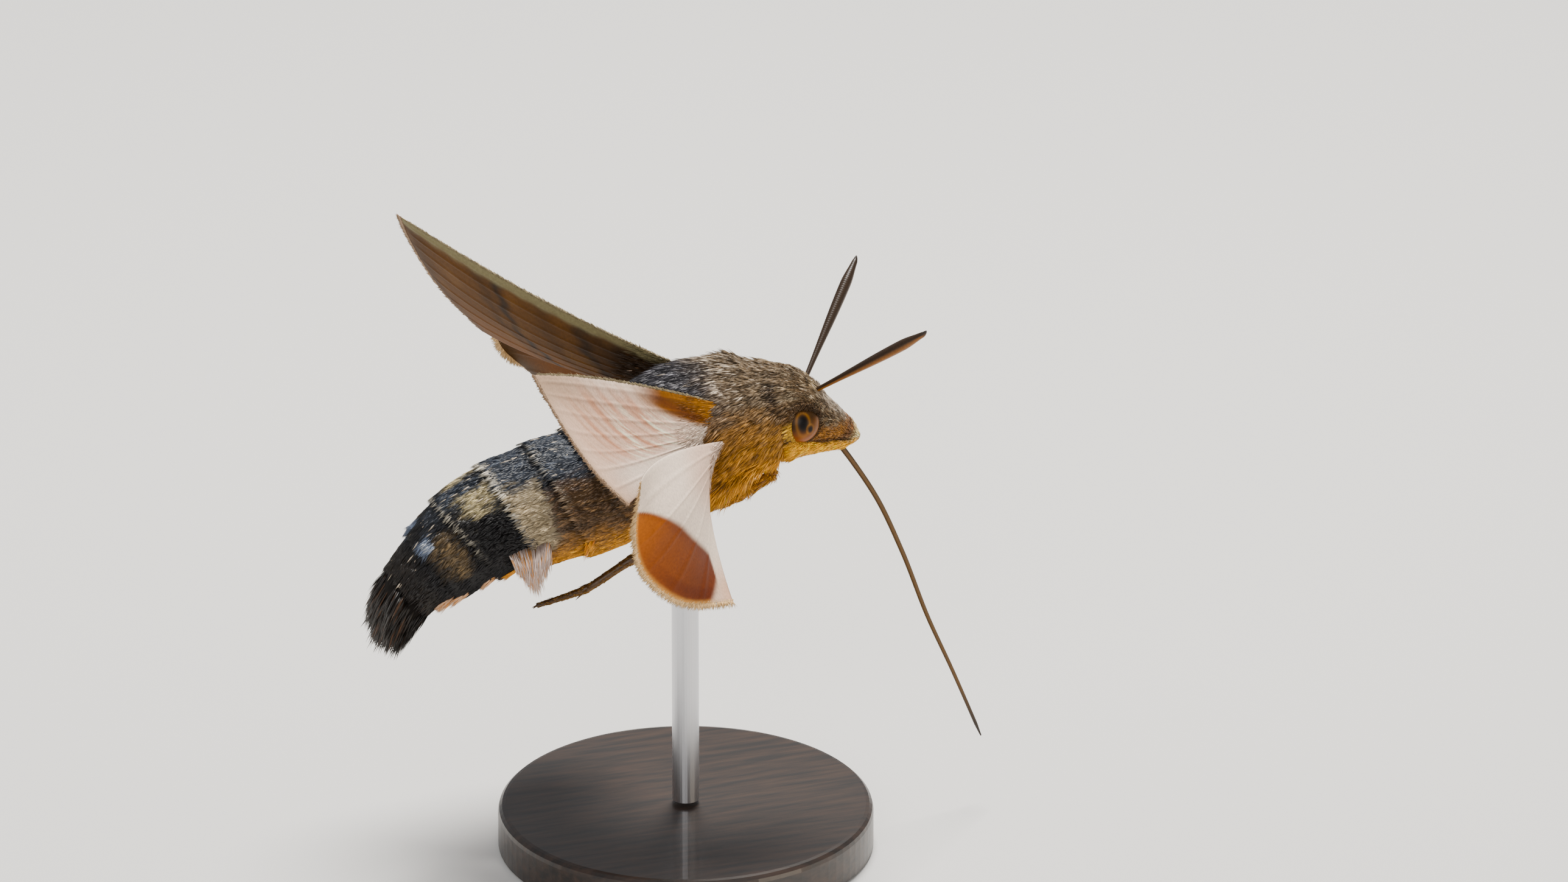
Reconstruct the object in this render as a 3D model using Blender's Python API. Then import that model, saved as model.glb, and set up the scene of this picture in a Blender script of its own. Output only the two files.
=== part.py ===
"""Hummingbird hawk moth (Macroglossum stellatarum), hovering, life size, on a display stand.

Sizes are in millimetres and are turned into metres when a mesh is made. +X is where the moth faces,
+Y its left, +Z up. The origin is the centre of the stand's underside. Body sizes are given from the
thorax centre, and everything paired is made for the left side and mirrored for the right.
"""

import math

import bmesh
import bpy
import numpy as np

MM = 0.001
GAP = 0.3  # clearance that two touching parts keep
LEFT, RIGHT = 1, -1
SIDE_NAMES = {LEFT: "left", RIGHT: "right"}
UP = np.array((0.0, 0.0, 1.0))
ACROSS = np.array((0.0, 1.0, 0.0))

# The thorax centre over the middle of the stand
THORAX_CENTRE = np.array((1.5, 0.0, 29.5))

# The body's spine from the tail to the snout: x, z, half width, depth above it and depth below it
SPINE = np.array(
    (
        (-22.1, -10.4, 2.9, 1.0, 1.0),  # middle of the tail fan
        (-20.8, -8.4, 3.0, 1.6, 1.6),  # root of the tail fan
        (-18.3, -6.4, 3.6, 2.9, 2.7),
        (-15.1, -4.4, 4.1, 3.7, 3.4),
        (-11.6, -3.5, 4.3, 4.2, 3.9),
        (-7.8, -2.75, 4.4, 4.5, 4.3),
        (-5.0, -1.6, 4.7, 4.9, 4.5),  # waist
        (-2.2, -0.55, 4.9, 5.5, 4.2),
        (0.0, 0.0, 4.85, 5.45, 3.8),  # thorax centre
        (2.9, 0.33, 4.2, 4.6, 3.2),
        (4.8, 0.5, 3.4, 3.55, 3.0),  # neck
        (6.3, 0.25, 2.85, 2.9, 2.75),  # across the eyes
        (7.8, -0.35, 2.2, 2.0, 2.1),
        (9.1, -0.95, 1.45, 1.3, 1.4),
        (10.1, -1.45, 0.8, 0.75, 0.8),
        (10.65, -1.75, 0.3, 0.35, 0.35),  # snout
    )
)

# Where the body is parted, as x on the spine
TAIL_ROOT_X = -20.4
SEGMENT_X = (-20.4, -18.6, -16.5, -14.1, -11.2, -8.0, -5.2)  # rear edge of each abdomen segment
NECK_X = 4.0
BODY_SIDES = 32
RINGS_PER_MM = 0.9
SEGMENT_FLARE = 0.14  # how far a segment's rear edge stands over the next one

# Head
EYE_CENTRE = np.array((5.75, 2.15, 0.8))
EYE_RADIUS = 1.3
PALP_REAR = (6.35, -0.5)  # x and z of the palps' upper rear corner
PALP_SLOPE = -0.29
ANTENNA_ROOT = np.array((6.9, 0.65, 2.1))
ANTENNA_TIP = np.array((12.7, 6.6, 7.9))
ANTENNA_ROOT_RADIUS = 0.25
ANTENNA_CLUB_RADIUS = 0.38
ANTENNA_HOOK = (0.2, 0.25, 0.5)  # from the club's end to the hook's point
ANTENNA_HOOK_RADIUS = 0.08
PROBOSCIS_ROUTE = (
    (8.9, -1.5),
    (10.3, -3.6),
    (11.9, -6.3),
    (13.7, -10.4),
    (15.6, -15.6),
    (17.3, -19.6),
    (19.4, -24.8),
)
PROBOSCIS_RADIUS = 0.26
PROBOSCIS_TIP_RADIUS = 0.17

# Wings, for the left side. A place on a wing is given along its span, along its chord and towards its
# underside, from the front hinge. Each ray runs from the hinge to the margin, and the rays go from the
# leading edge round to the trailing one.
WING_THICKNESS = 0.5
WING_STATIONS = 11
VEIN_HEIGHT = 0.16
VEIN_HALF_WIDTH = 0.03  # as a share of the wing's width
WING_HINGE = np.array((-0.2, 3.85, 3.3))
SPAN = np.array((-0.768, 0.483, 0.422))
CHORD = np.array((0.065, 0.736, -0.672))
FOREWING_RAYS = (
    ((-1.6, -0.3, 0.0), (9.3, -1.5, -1.2), (21.2, 0.1, 0.0)),
    ((-1.6, 0.45, -0.5), (9.2, 0.6, -1.9), (20.2, 1.9, -0.2)),
    ((-1.5, 0.6, -1.0), (8.7, 2.5, -2.2), (18.3, 4.2, -0.6)),
    ((-1.4, 0.75, -1.5), (7.9, 3.8, -2.2), (16.0, 6.2, -1.0)),
    ((-1.3, 0.9, -1.9), (7.2, 5.0, -2.1), (13.0, 7.9, -1.3)),
)
FOREWING_VEINS = (0.06, 0.17, 0.29, 0.42, 0.56, 0.71, 0.87)
HINDWING_RAYS = (
    ((-0.9, 1.7, -1.0), (7.6, 4.0, -0.6), (13.5, 7.1, 0.1)),
    ((-0.9, 2.0, -1.7), (8.3, 7.4, -0.9), (11.3, 9.4, -1.1)),
    ((-0.9, 2.3, -2.3), (6.6, 8.4, -1.5), (8.9, 11.1, -1.0)),
    ((-0.9, 2.6, -2.9), (3.4, 8.8, -2.6), (5.2, 12.5, -1.7)),
    ((-0.9, 2.9, -3.5), (-0.1, 8.0, -3.8), (0.4, 12.3, -3.2)),
)
# How far each ray of the right hindwing has its margin folded back from the crease
HINDWING_FOLD = (0.3, -1.5, -3.2, -2.7, -0.5)
HINDWING_VEINS = (0.12, 0.3, 0.48, 0.66, 0.84)

# Legs: joints from the hip to the claw, for the left side, and the radius at each
HIND_HIP = (-1.6, 1.8, -4.2)
HIND_LEG = (HIND_HIP, (-3.2, 1.85, -6.5), (-5.8, 1.75, -7.5), (-8.9, 1.6, -9.2), (-12.3, 1.5, -9.95))
HIND_LEG_TUCKED = (HIND_HIP, (-3.2, 1.9, -6.5), (-5.8, 1.9, -7.3), (-8.9, 1.9, -8.1), (-11.6, 1.8, -8.4))
MIDDLE_LEG = ((0.9, 1.8, -2.5), (1.9, 2.3, -3.4), (-0.4, 2.4, -4.1), (-3.0, 2.6, -4.7), (-5.0, 2.7, -5.7))
FORE_LEG = ((3.3, 0.8, -2.2), (4.2, 0.9, -3.1), (3.0, 1.2, -3.7), (1.2, 1.35, -4.4), (-0.6, 1.4, -4.8))
LEG_RADII = (0.36, 0.36, 0.32, 0.28, 0.2)
SPUR_LENGTH = 0.9
SPUR_RADII = (0.16, 0.12, 0.05)
# Spurs on the hind leg: the ring they grow from and how far they lean sideways
SPURS = ((8, 0.3), (8, -0.3), (11, 0.3), (11, -0.3))

# Locks of scales on the abdomen, which stand out from it, and those of the tail fan
TUFT_LOCK = {"width": 1.1, "thickness": 0.6, "droop": 0.3}
TUFT_SPREAD = 0.45
TUFT_SINK = 0.55
# Where each segment carries tufts: x, degrees above the flank, length, number of locks
TUFTS = {
    "abdomen_3": ((-12.2, -50, 2.5, 3),),
    "abdomen_4": ((-15.4, -45, 1.3, 2),),
    "abdomen_5": ((-17.6, -40, 1.3, 2), (-17.9, 58, 1.2, 2)),
    "abdomen_6": ((-19.3, -32, 1.3, 2),),
}
FAN_LOCK = {"width": 1.15, "thickness": 0.62, "droop": 0.35}
FAN_X = -20.8
FAN_CORE_X = -21.4
# Tiers of the tail fan: height as a share of the half depth, length and number of locks
FAN_TIERS = ((0.75, 2.5, 7), (0.0, 3.1, 7), (-0.75, 2.6, 6))

# Stand
BASE_RADIUS = 12.5
BASE_HEIGHT = 3.0
BASE_EDGE = 0.5
BASE_FOOT_EDGE = 0.2
BASE_SIDES = 96
ROD_RADIUS = 0.9
ROD_SIDES = 32
ROD_TOP_BELOW_THORAX = 3.0

# Colours of the materials: red, green, blue, roughness, metallic
COLOURS = {
    "thorax_fur": (0.30, 0.25, 0.19, 0.9, 0.0),
    "abdomen_fur": (0.16, 0.17, 0.19, 0.9, 0.0),
    "tail_fur": (0.03, 0.03, 0.035, 0.9, 0.0),
    "face_scales": (0.75, 0.58, 0.35, 0.85, 0.0),
    "eye": (0.16, 0.09, 0.04, 0.25, 0.0),
    "chitin": (0.12, 0.08, 0.05, 0.55, 0.0),
    "forewing": (0.42, 0.34, 0.28, 0.8, 0.0),
    "hindwing": (0.72, 0.30, 0.06, 0.8, 0.0),
    "stand_base": (0.05, 0.045, 0.04, 0.4, 0.0),
    "stand_rod": (0.55, 0.55, 0.56, 0.3, 1.0),
}


def material(name):
    """The Principled material of that name, made once."""
    found = bpy.data.materials.get(name)
    if found:
        return found
    made = bpy.data.materials.new(name)
    made.use_nodes = True
    shader = made.node_tree.nodes["Principled BSDF"]
    red, green, blue, roughness, metallic = COLOURS[name]
    shader.inputs["Base Color"].default_value = (red, green, blue, 1.0)
    shader.inputs["Roughness"].default_value = roughness
    shader.inputs["Metallic"].default_value = metallic
    made.diffuse_color = (red, green, blue, 1.0)
    return made


def shade(mesh):
    """Smooth shading that stays sharp over real edges."""
    mesh.shade_smooth()
    mesh.set_sharp_from_angle(angle=math.radians(40))


def solid(name, points, faces, material_name, centred=True):
    """A closed mesh object from points in millimetres, given from the thorax centre where centred."""
    offset = THORAX_CENTRE if centred else np.zeros(3)
    mesh = bpy.data.meshes.new(name)
    mesh.from_pydata([tuple((np.asarray(p) + offset) * MM) for p in points], [], faces)
    shaped = bmesh.new()
    shaped.from_mesh(mesh)
    bmesh.ops.recalc_face_normals(shaped, faces=shaped.faces)
    shaped.to_mesh(mesh)
    shaped.free()
    obj = bpy.data.objects.new(name, mesh)
    bpy.context.scene.collection.objects.link(obj)
    mesh.materials.append(material(material_name))
    shade(mesh)
    return obj


def smooth_curve(rows, count):
    """Points on a smooth curve through the rows, evenly spread by length, other columns carried along."""
    rows = np.asarray(rows, float)
    along = np.concatenate(([0.0], np.cumsum(np.linalg.norm(np.diff(rows[:, :3], axis=0), axis=1))))
    slopes = np.gradient(rows, along, axis=0)
    return hermite(rows, along, slopes, np.linspace(0.0, along[-1], count))


def hermite(rows, along, slopes, wanted):
    """Cubic values at the wanted places between rows that have these slopes."""
    spans = np.clip(np.searchsorted(along, wanted, side="right") - 1, 0, len(along) - 2)
    length = (along[spans + 1] - along[spans])[:, None]
    t = ((wanted - along[spans])[:, None]) / length
    return (
        rows[spans] * (2 * t**3 - 3 * t**2 + 1)
        + rows[spans + 1] * (3 * t**2 - 2 * t**3)
        + slopes[spans] * length * (t**3 - 2 * t**2 + t)
        + slopes[spans + 1] * length * (t**3 - t**2)
    )


# Length along the spine at each of its rows, and the curve's slopes there
SPINE_ALONG = np.concatenate(([0.0], np.cumsum(np.linalg.norm(np.diff(SPINE[:, :2], axis=0), axis=1))))
SPINE_SLOPES = np.gradient(SPINE, SPINE_ALONG, axis=0)


def spine_at(along):
    """Centre, forward and upward directions, half width and the two depths at a length along the spine."""
    row = hermite(SPINE, SPINE_ALONG, SPINE_SLOPES, np.array([along]))[0]
    step = 0.05
    around = np.clip([along - step, along + step], 0, SPINE_ALONG[-1])
    ends = hermite(SPINE, SPINE_ALONG, SPINE_SLOPES, around)
    forward = np.array((ends[1][0] - ends[0][0], 0.0, ends[1][1] - ends[0][1]))
    forward /= np.linalg.norm(forward)
    upward = np.cross(forward, ACROSS)
    return np.array((row[0], 0.0, row[1])), forward, upward, row[2], row[3:5]


def along_at_x(x):
    """Length along the spine where it passes x."""
    return float(np.interp(x, SPINE[:, 0], SPINE_ALONG))


def ring_faces(rings, sides):
    """Quads between successive rings and a fan over each end, whose middle points follow the rings."""
    faces = []
    for ring in range(rings - 1):
        for side in range(sides):
            ahead = (side + 1) % sides
            here, beyond = ring * sides, (ring + 1) * sides
            faces.append((here + side, here + ahead, beyond + ahead, beyond + side))
    first, last = rings * sides, rings * sides + 1
    for side in range(sides):
        ahead = (side + 1) % sides
        faces.append((first, ahead, side))
        faces.append((last, (rings - 1) * sides + side, (rings - 1) * sides + ahead))
    return faces


def body_length(name, start, end, material_name, grow=0.0, flare=0.0, dome=0.0):
    """One length of the body between two places on the spine.

    grow widens it all round, flare raises its rear edge over the next segment, and dome rounds its ends.
    """
    count = max(3, round((end - start) * RINGS_PER_MM) + 1)
    places = np.linspace(start, end, count)
    points = []
    for place in places:
        centre, _, upward, width, depths = spine_at(place)
        share = (place - start) / (end - start)
        extra = grow + flare * (1 - share) ** 2
        for turn in np.linspace(0, 2 * math.pi, BODY_SIDES, endpoint=False):
            across = (width + extra) * math.cos(turn) * ACROSS
            depth = depths[0] if math.sin(turn) > 0 else depths[1]
            points.append(centre + across + (depth + extra) * math.sin(turn) * upward)
    for place, away in ((start, -dome), (end, dome)):
        centre, forward, *_ = spine_at(place)
        points.append(centre + forward * away)
    return solid(name, points, ring_faces(count, BODY_SIDES), material_name)


def tube(name, route, radii, sides, material_name):
    """A round tapering tube along a route, with flat ends. A ring is turned as the route turns."""
    route = np.asarray(route, float)
    headings = np.gradient(route, axis=0)
    headings /= np.linalg.norm(headings, axis=1)[:, None]
    side_way = np.cross(headings[0], UP if abs(headings[0][2]) < 0.9 else ACROSS)
    points = []
    for centre, heading, radius in zip(route, headings, radii):
        side_way = side_way - heading * side_way.dot(heading)
        side_way /= np.linalg.norm(side_way)
        other = np.cross(heading, side_way)
        for turn in np.linspace(0, 2 * math.pi, sides, endpoint=False):
            points.append(centre + radius * (math.cos(turn) * side_way + math.sin(turn) * other))
    points += [route[0], route[-1]]
    return solid(name, points, ring_faces(len(route), sides), material_name)


def lock(root, heading, outward, length, width, thickness, droop):
    """A flat tapered lock of scales: four sided, bending by droop away from outward towards its tip."""
    root, heading, outward = (np.asarray(v, float) for v in (root, heading, outward))
    across = np.cross(heading, outward)
    across /= np.linalg.norm(across)
    profile = ((0.0, 0.7), (0.35, 1.0), (0.7, 0.75), (0.93, 0.3))
    points = []
    for share, wide in profile:
        centre = root + heading * length * share - outward * droop * share**2
        half = across * width * wide / 2
        thick = outward * thickness * (1 - 0.5 * share) / 2
        points += [centre + half, centre + thick, centre - half, centre - thick]
    points += [root, root + heading * length - outward * droop]
    return solid("lock", points, ring_faces(len(profile), 4), "tail_fur")


def combine(name, base, others, operation):
    """Joins the other objects to the base, or cuts them out of it, and keeps the largest closed surface."""
    group = bpy.data.collections.new(name + "_pieces")
    for other in others:
        group.objects.link(other)
    change = base.modifiers.new(operation.lower(), "BOOLEAN")
    change.operation = operation
    change.operand_type = "COLLECTION"
    change.collection = group
    for solver in ("EXACT", "MANIFOLD"):
        change.solver = solver
        evaluated = base.evaluated_get(bpy.context.evaluated_depsgraph_get())
        mesh = bpy.data.meshes.new_from_object(evaluated)
        if mesh.polygons:
            break
    base.modifiers.clear()
    keep_largest(mesh)
    mesh.materials.clear()
    mesh.materials.append(base.data.materials[0])
    base.data = mesh
    base.name = name
    for other in others:
        bpy.data.objects.remove(other)
    bpy.data.collections.remove(group)
    shade(mesh)
    return base


def keep_largest(mesh):
    """Drops every separate surface but the largest one from the mesh."""
    shaped = bmesh.new()
    shaped.from_mesh(mesh)
    left = set(shaped.verts)
    shells = []
    while left:
        shell = {left.pop()}
        edge = set(shell)
        while edge:
            edge = {e.other_vert(v) for v in edge for e in v.link_edges} & left
            left -= edge
            shell |= edge
        shells.append(shell)
    largest = max(shells, key=len)
    bmesh.ops.delete(shaped, geom=[v for v in shaped.verts if v not in largest], context="VERTS")
    bmesh.ops.triangulate(shaped, faces=shaped.faces)
    bmesh.ops.dissolve_degenerate(shaped, dist=1e-6, edges=shaped.edges)
    shaped.to_mesh(mesh)
    shaped.free()


def mirrored(point, side):
    """The point on the given side of the moth."""
    return np.asarray(point, float) * np.array((1.0, side, 1.0))


def below_line(name, corner, slope, low_y, high_y):
    """A wedge of space in front of a corner and below a line that slopes forward from it."""
    far, deep = 14.0, -8.0
    outline = ((corner[0], deep), corner, (far, corner[1] + slope * (far - corner[0])), (far, deep))
    points = [(x, y, z) for y in (low_y, high_y) for x, z in outline]
    faces = [(0, 1, 2, 3), (7, 6, 5, 4)]
    faces += [(i, (i + 1) % 4, (i + 1) % 4 + 4, i + 4) for i in range(4)]
    return solid(name, points, faces, "chitin")


def ball(name, centre, radius, material_name, sides=16, rings=9):
    """A round ball turned about the Y axis."""
    points = []
    for ring in range(rings):
        slope = math.pi * (ring + 1) / (rings + 1)
        for turn in np.linspace(0, 2 * math.pi, sides, endpoint=False):
            away = (math.sin(slope) * math.cos(turn), -math.cos(slope), math.sin(slope) * math.sin(turn))
            points.append(centre + radius * np.array(away))
    points += [centre - radius * ACROSS, centre + radius * ACROSS]
    return solid(name, points, ring_faces(rings, sides), material_name)


def thorax_cutter():
    """The thorax grown by the gap, which trims whatever grows from it."""
    start, end = along_at_x(SEGMENT_X[-1]) - 2, along_at_x(NECK_X) + 1
    return body_length("cutter", start, end, "thorax_fur", grow=GAP)


def head_cutter():
    """The head grown by the gap, which trims whatever grows from it."""
    return body_length("cutter", along_at_x(NECK_X) - 1, SPINE_ALONG[-1], "thorax_fur", grow=GAP, dome=GAP)


def make_thorax():
    body_length("thorax", along_at_x(SEGMENT_X[-1]) + GAP, along_at_x(NECK_X) - GAP, "thorax_fur")


def make_head():
    """The head down to the palps, with a socket for each eye, and the two palps under it."""
    start, end = along_at_x(NECK_X), SPINE_ALONG[-1]
    head = body_length("head", start, end, "thorax_fur", dome=0.1)
    below = below_line("cutter", PALP_REAR, PALP_SLOPE, -5, 5)
    sockets = [ball("socket", mirrored(EYE_CENTRE, side), EYE_RADIUS + GAP, "eye") for side in SIDE_NAMES]
    combine("head", head, [below, *sockets], "DIFFERENCE")
    palp_corner = (PALP_REAR[0] + GAP, PALP_REAR[1] - GAP)
    for side, word in SIDE_NAMES.items():
        palp = body_length("palp", start, end, "face_scales", dome=0.1)
        keep = below_line("keep", palp_corner, PALP_SLOPE, *sorted((side * GAP / 2, side * 5)))
        combine("palp_" + word, palp, [keep], "INTERSECT")
        ball("eye_" + word, mirrored(EYE_CENTRE, side), EYE_RADIUS, "eye")


def make_antenna(side):
    """A clubbed feeler that thickens towards its tip and ends in a small hook."""
    count = 13
    root, tip = mirrored(ANTENNA_ROOT, side), mirrored(ANTENNA_TIP, side)
    shares = np.linspace(0, 1, count)
    route = [root + (tip - root) * t for t in shares]
    swell = [math.sin(math.pi * min(t / 1.45, 1.0)) ** 2 for t in shares]
    radii = [ANTENNA_ROOT_RADIUS + (ANTENNA_CLUB_RADIUS - ANTENNA_ROOT_RADIUS) * s for s in swell]
    radii[-1] = ANTENNA_ROOT_RADIUS * 0.7
    route.append(tip + mirrored(ANTENNA_HOOK, side))
    radii.append(ANTENNA_HOOK_RADIUS)
    name = "antenna_" + SIDE_NAMES[side]
    combine(name, tube(name, route, radii, 10, "chitin"), [head_cutter()], "DIFFERENCE")


def make_proboscis():
    """The long tongue, uncoiled in a slack curve from the mouth."""
    count = 26
    route = smooth_curve([(x, 0.0, z) for x, z in PROBOSCIS_ROUTE], count)
    radii = np.linspace(PROBOSCIS_RADIUS, PROBOSCIS_TIP_RADIUS, count)
    combine("proboscis", tube("proboscis", route, radii, 8, "chitin"), [head_cutter()], "DIFFERENCE")


def vein_lines(veins):
    """Places across a wing: its two edges and each vein's crest and feet. The second list marks crests."""
    places, crests = [0.0], [False]
    for vein in veins:
        places += [vein - VEIN_HALF_WIDTH, vein, vein + VEIN_HALF_WIDTH]
        crests += [False, True, False]
    return places + [1.0], crests + [False]


def wing_solid(name, surface, veins, stations, material_name):
    """A membrane with raised veins. surface gives a point from shares along and across the wing."""
    places, crests = vein_lines(veins)
    lengths = np.linspace(0, 1, stations)
    grid = np.array([[surface(u, v) for v in places] for u in lengths])
    normals = np.cross(np.gradient(grid, axis=0), np.gradient(grid, axis=1))
    normals /= np.linalg.norm(normals, axis=2)[:, :, None]
    half = WING_THICKNESS / 2 + np.where(crests, VEIN_HEIGHT, 0.0)[None, :, None] * np.ones((stations, 1, 1))
    half[-1] = WING_THICKNESS / 2
    points = np.concatenate(((grid + normals * half).reshape(-1, 3), (grid - normals * half).reshape(-1, 3)))
    wide, under = len(places), stations * len(places)
    faces = []
    for i in range(stations - 1):
        for j in range(wide - 1):
            a, b, c, d = i * wide + j, i * wide + j + 1, (i + 1) * wide + j + 1, (i + 1) * wide + j
            faces += [(a, b, c), (a, c, d)]
            faces += [(a + under, c + under, b + under), (a + under, d + under, c + under)]
    rim = list(range(wide))
    rim += [i * wide + wide - 1 for i in range(1, stations)]
    rim += [(stations - 1) * wide + j for j in range(wide - 2, -1, -1)]
    rim += [i * wide for i in range(stations - 2, 0, -1)]
    for here, ahead in zip(rim, rim[1:] + rim[:1]):
        faces += [(here, here + under, ahead + under), (here, ahead + under, ahead)]
    return solid(name, points, faces, material_name)


def wing_surface(rays, side, fold=0.0):
    """The middle surface of a wing as a function of shares along the rays and across them."""
    rays = np.array(rays)
    rays[:, 2, 2] += fold
    rows = rays.reshape(len(rays), -1)
    shares = np.linspace(0, 1, len(rays))
    slopes = np.gradient(rows, shares, axis=0)
    turned = np.array((SPAN, CHORD, np.cross(CHORD, SPAN)))

    def place(u, v):
        start, middle, end = hermite(rows, shares, slopes, np.array([v]))[0].reshape(3, 3)
        bend = 2 * middle - (start + end) / 2
        flat = start * (1 - u) ** 2 + bend * 2 * u * (1 - u) + end * u**2
        return mirrored(WING_HINGE + flat @ turned, side)

    return place


def make_wings(side):
    """Forewing and hindwing of one side, trimmed to the thorax."""
    fold = HINDWING_FOLD if side == RIGHT else 0.0
    for name, surface, veins in (
        ("forewing", wing_surface(FOREWING_RAYS, side), FOREWING_VEINS),
        ("hindwing", wing_surface(HINDWING_RAYS, side, fold), HINDWING_VEINS),
    ):
        full_name = name + "_" + SIDE_NAMES[side]
        wing = wing_solid(full_name, surface, veins, WING_STATIONS, name)
        combine(full_name, wing, [thorax_cutter()], "DIFFERENCE")


def make_leg(name, joints, side, spurs):
    """One leg as a tapering tube bent at its joints, with spines on the shin, trimmed to the thorax."""
    count = 15
    rows = [(*mirrored(joint, side), radius) for joint, radius in zip(joints, LEG_RADII)]
    curve = smooth_curve(rows, count)
    leg = tube(name, curve[:, :3], curve[:, 3], 8, "chitin")
    pieces = []
    for place, sideways in spurs:
        root = curve[place, :3]
        heading = curve[place + 1, :3] - root
        heading = heading / np.linalg.norm(heading) + mirrored((0.0, sideways, -0.45), side)
        tip = root + heading / np.linalg.norm(heading) * SPUR_LENGTH
        pieces.append(tube("spur", [root, (root + tip) / 2, tip], SPUR_RADII, 5, "chitin"))
    if pieces:
        leg = combine(name, leg, pieces, "UNION")
    combine(name, leg, [thorax_cutter()], "DIFFERENCE")


def make_legs():
    make_leg("hind_leg_right", HIND_LEG, RIGHT, SPURS)
    make_leg("hind_leg_left", HIND_LEG_TUCKED, LEFT, ())
    for side, word in SIDE_NAMES.items():
        make_leg("middle_leg_" + word, MIDDLE_LEG, side, ())
        make_leg("fore_leg_" + word, FORE_LEG, side, ())


def side_tuft(x, side, turn, reach, count):
    """Locks that stand out from one side of the abdomen at x, fanned, at an angle below the flank."""
    centre, forward, upward, width, depths = spine_at(along_at_x(x))
    depth = depths[0] if turn > 0 else depths[1]
    outward = math.cos(turn) * side * ACROSS + math.sin(turn) * upward
    root = centre + math.cos(turn) * side * width * ACROSS + math.sin(turn) * depth * upward
    made = []
    for spread in np.linspace(-TUFT_SPREAD, TUFT_SPREAD, count):
        heading = -forward * 0.75 + outward * 0.5 + np.cross(forward, outward) * spread
        heading /= np.linalg.norm(heading)
        face = outward - heading * outward.dot(heading)
        sunk = root - outward * TUFT_SINK + np.cross(forward, outward) * spread * 1.6
        made.append(lock(sunk, heading, face / np.linalg.norm(face), reach, **TUFT_LOCK))
    return made


def make_abdomen():
    """The segments, the first next to the thorax, each with its tufts."""
    edges = [along_at_x(x) for x in reversed(SEGMENT_X)]
    for number, (front, rear) in enumerate(zip(edges, edges[1:]), start=1):
        name = f"abdomen_{number}"
        segment = body_length(name, rear, front - GAP, "abdomen_fur", flare=SEGMENT_FLARE)
        tufts = [
            piece
            for x, degrees, reach, count in TUFTS.get(name, ())
            for side in SIDE_NAMES
            for piece in side_tuft(x, side, math.radians(degrees), reach, count)
        ]
        if tufts:
            combine(name, segment, tufts, "UNION")


def make_tail_fan():
    """The brush at the end of the abdomen: tiers of locks spread like a fan from a short core."""
    core = body_length("tail_fan", along_at_x(FAN_CORE_X), along_at_x(TAIL_ROOT_X) - GAP, "tail_fur")
    centre, forward, upward, width, depths = spine_at(along_at_x(FAN_X))
    locks = []
    for tier, (height, reach, count) in enumerate(FAN_TIERS):
        for number, place in enumerate(np.linspace(-0.9, 0.9, count)):
            root = centre + ACROSS * width * 0.8 * place + upward * depths[0] * height * 0.8
            uneven = 0.25 * math.sin(2.4 * number + tier)
            heading = -forward + ACROSS * 0.28 * place + upward * (0.1 * height + 0.04 * uneven)
            heading /= np.linalg.norm(heading)
            face = upward - heading * upward.dot(heading)
            length = reach * (1 - 0.22 * place**2) + uneven
            locks.append(lock(root, heading, face / np.linalg.norm(face), length, **FAN_LOCK))
    combine("tail_fan", core, locks, "UNION")


def make_stand():
    """A round base with a rounded top edge, and a rod that carries the thorax from below."""
    rings = [(0.0, BASE_RADIUS - BASE_FOOT_EDGE), (BASE_FOOT_EDGE, BASE_RADIUS)]
    for share in (0.0, 0.35, 0.7, 1.0):
        turn = share * math.pi / 2
        height = BASE_HEIGHT - BASE_EDGE * (1 - math.sin(turn))
        rings.append((height, BASE_RADIUS - BASE_EDGE * (1 - math.cos(turn))))
    turns = np.linspace(0, 2 * math.pi, BASE_SIDES, endpoint=False)
    points = [(radius * math.cos(t), radius * math.sin(t), z) for z, radius in rings for t in turns]
    points += [(0, 0, 0), (0, 0, BASE_HEIGHT)]
    solid("stand_base", points, ring_faces(len(rings), BASE_SIDES), "stand_base", centred=False)
    foot = -THORAX_CENTRE + UP * (BASE_HEIGHT + GAP)
    height = THORAX_CENTRE[2] - BASE_HEIGHT - GAP - ROD_TOP_BELOW_THORAX
    route = [foot + UP * height * share for share in (0.0, 0.35, 0.7, 1.0)]
    rod = tube("stand_rod", route, [ROD_RADIUS] * len(route), ROD_SIDES, "stand_rod")
    combine("stand_rod", rod, [thorax_cutter()], "DIFFERENCE")


def main():
    for obj in list(bpy.data.objects):
        bpy.data.objects.remove(obj)
    make_thorax()
    make_head()
    make_abdomen()
    make_tail_fan()
    make_proboscis()
    for side in SIDE_NAMES:
        make_antenna(side)
        make_wings(side)
    make_legs()
    make_stand()


if __name__ == "__main__":
    main()
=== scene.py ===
"""Looks of the hummingbird hawk moth and its display stand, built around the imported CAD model.

Body sizes are in millimetres from the thorax centre, as in the part's source, and are turned into the
frame's metres when a mesh is made. A place on the body is given by its length along the spine, from the tail
to the snout, and by its turn round the spine, 0 on the left flank and 90 degrees along the back.
"""

import math

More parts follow.
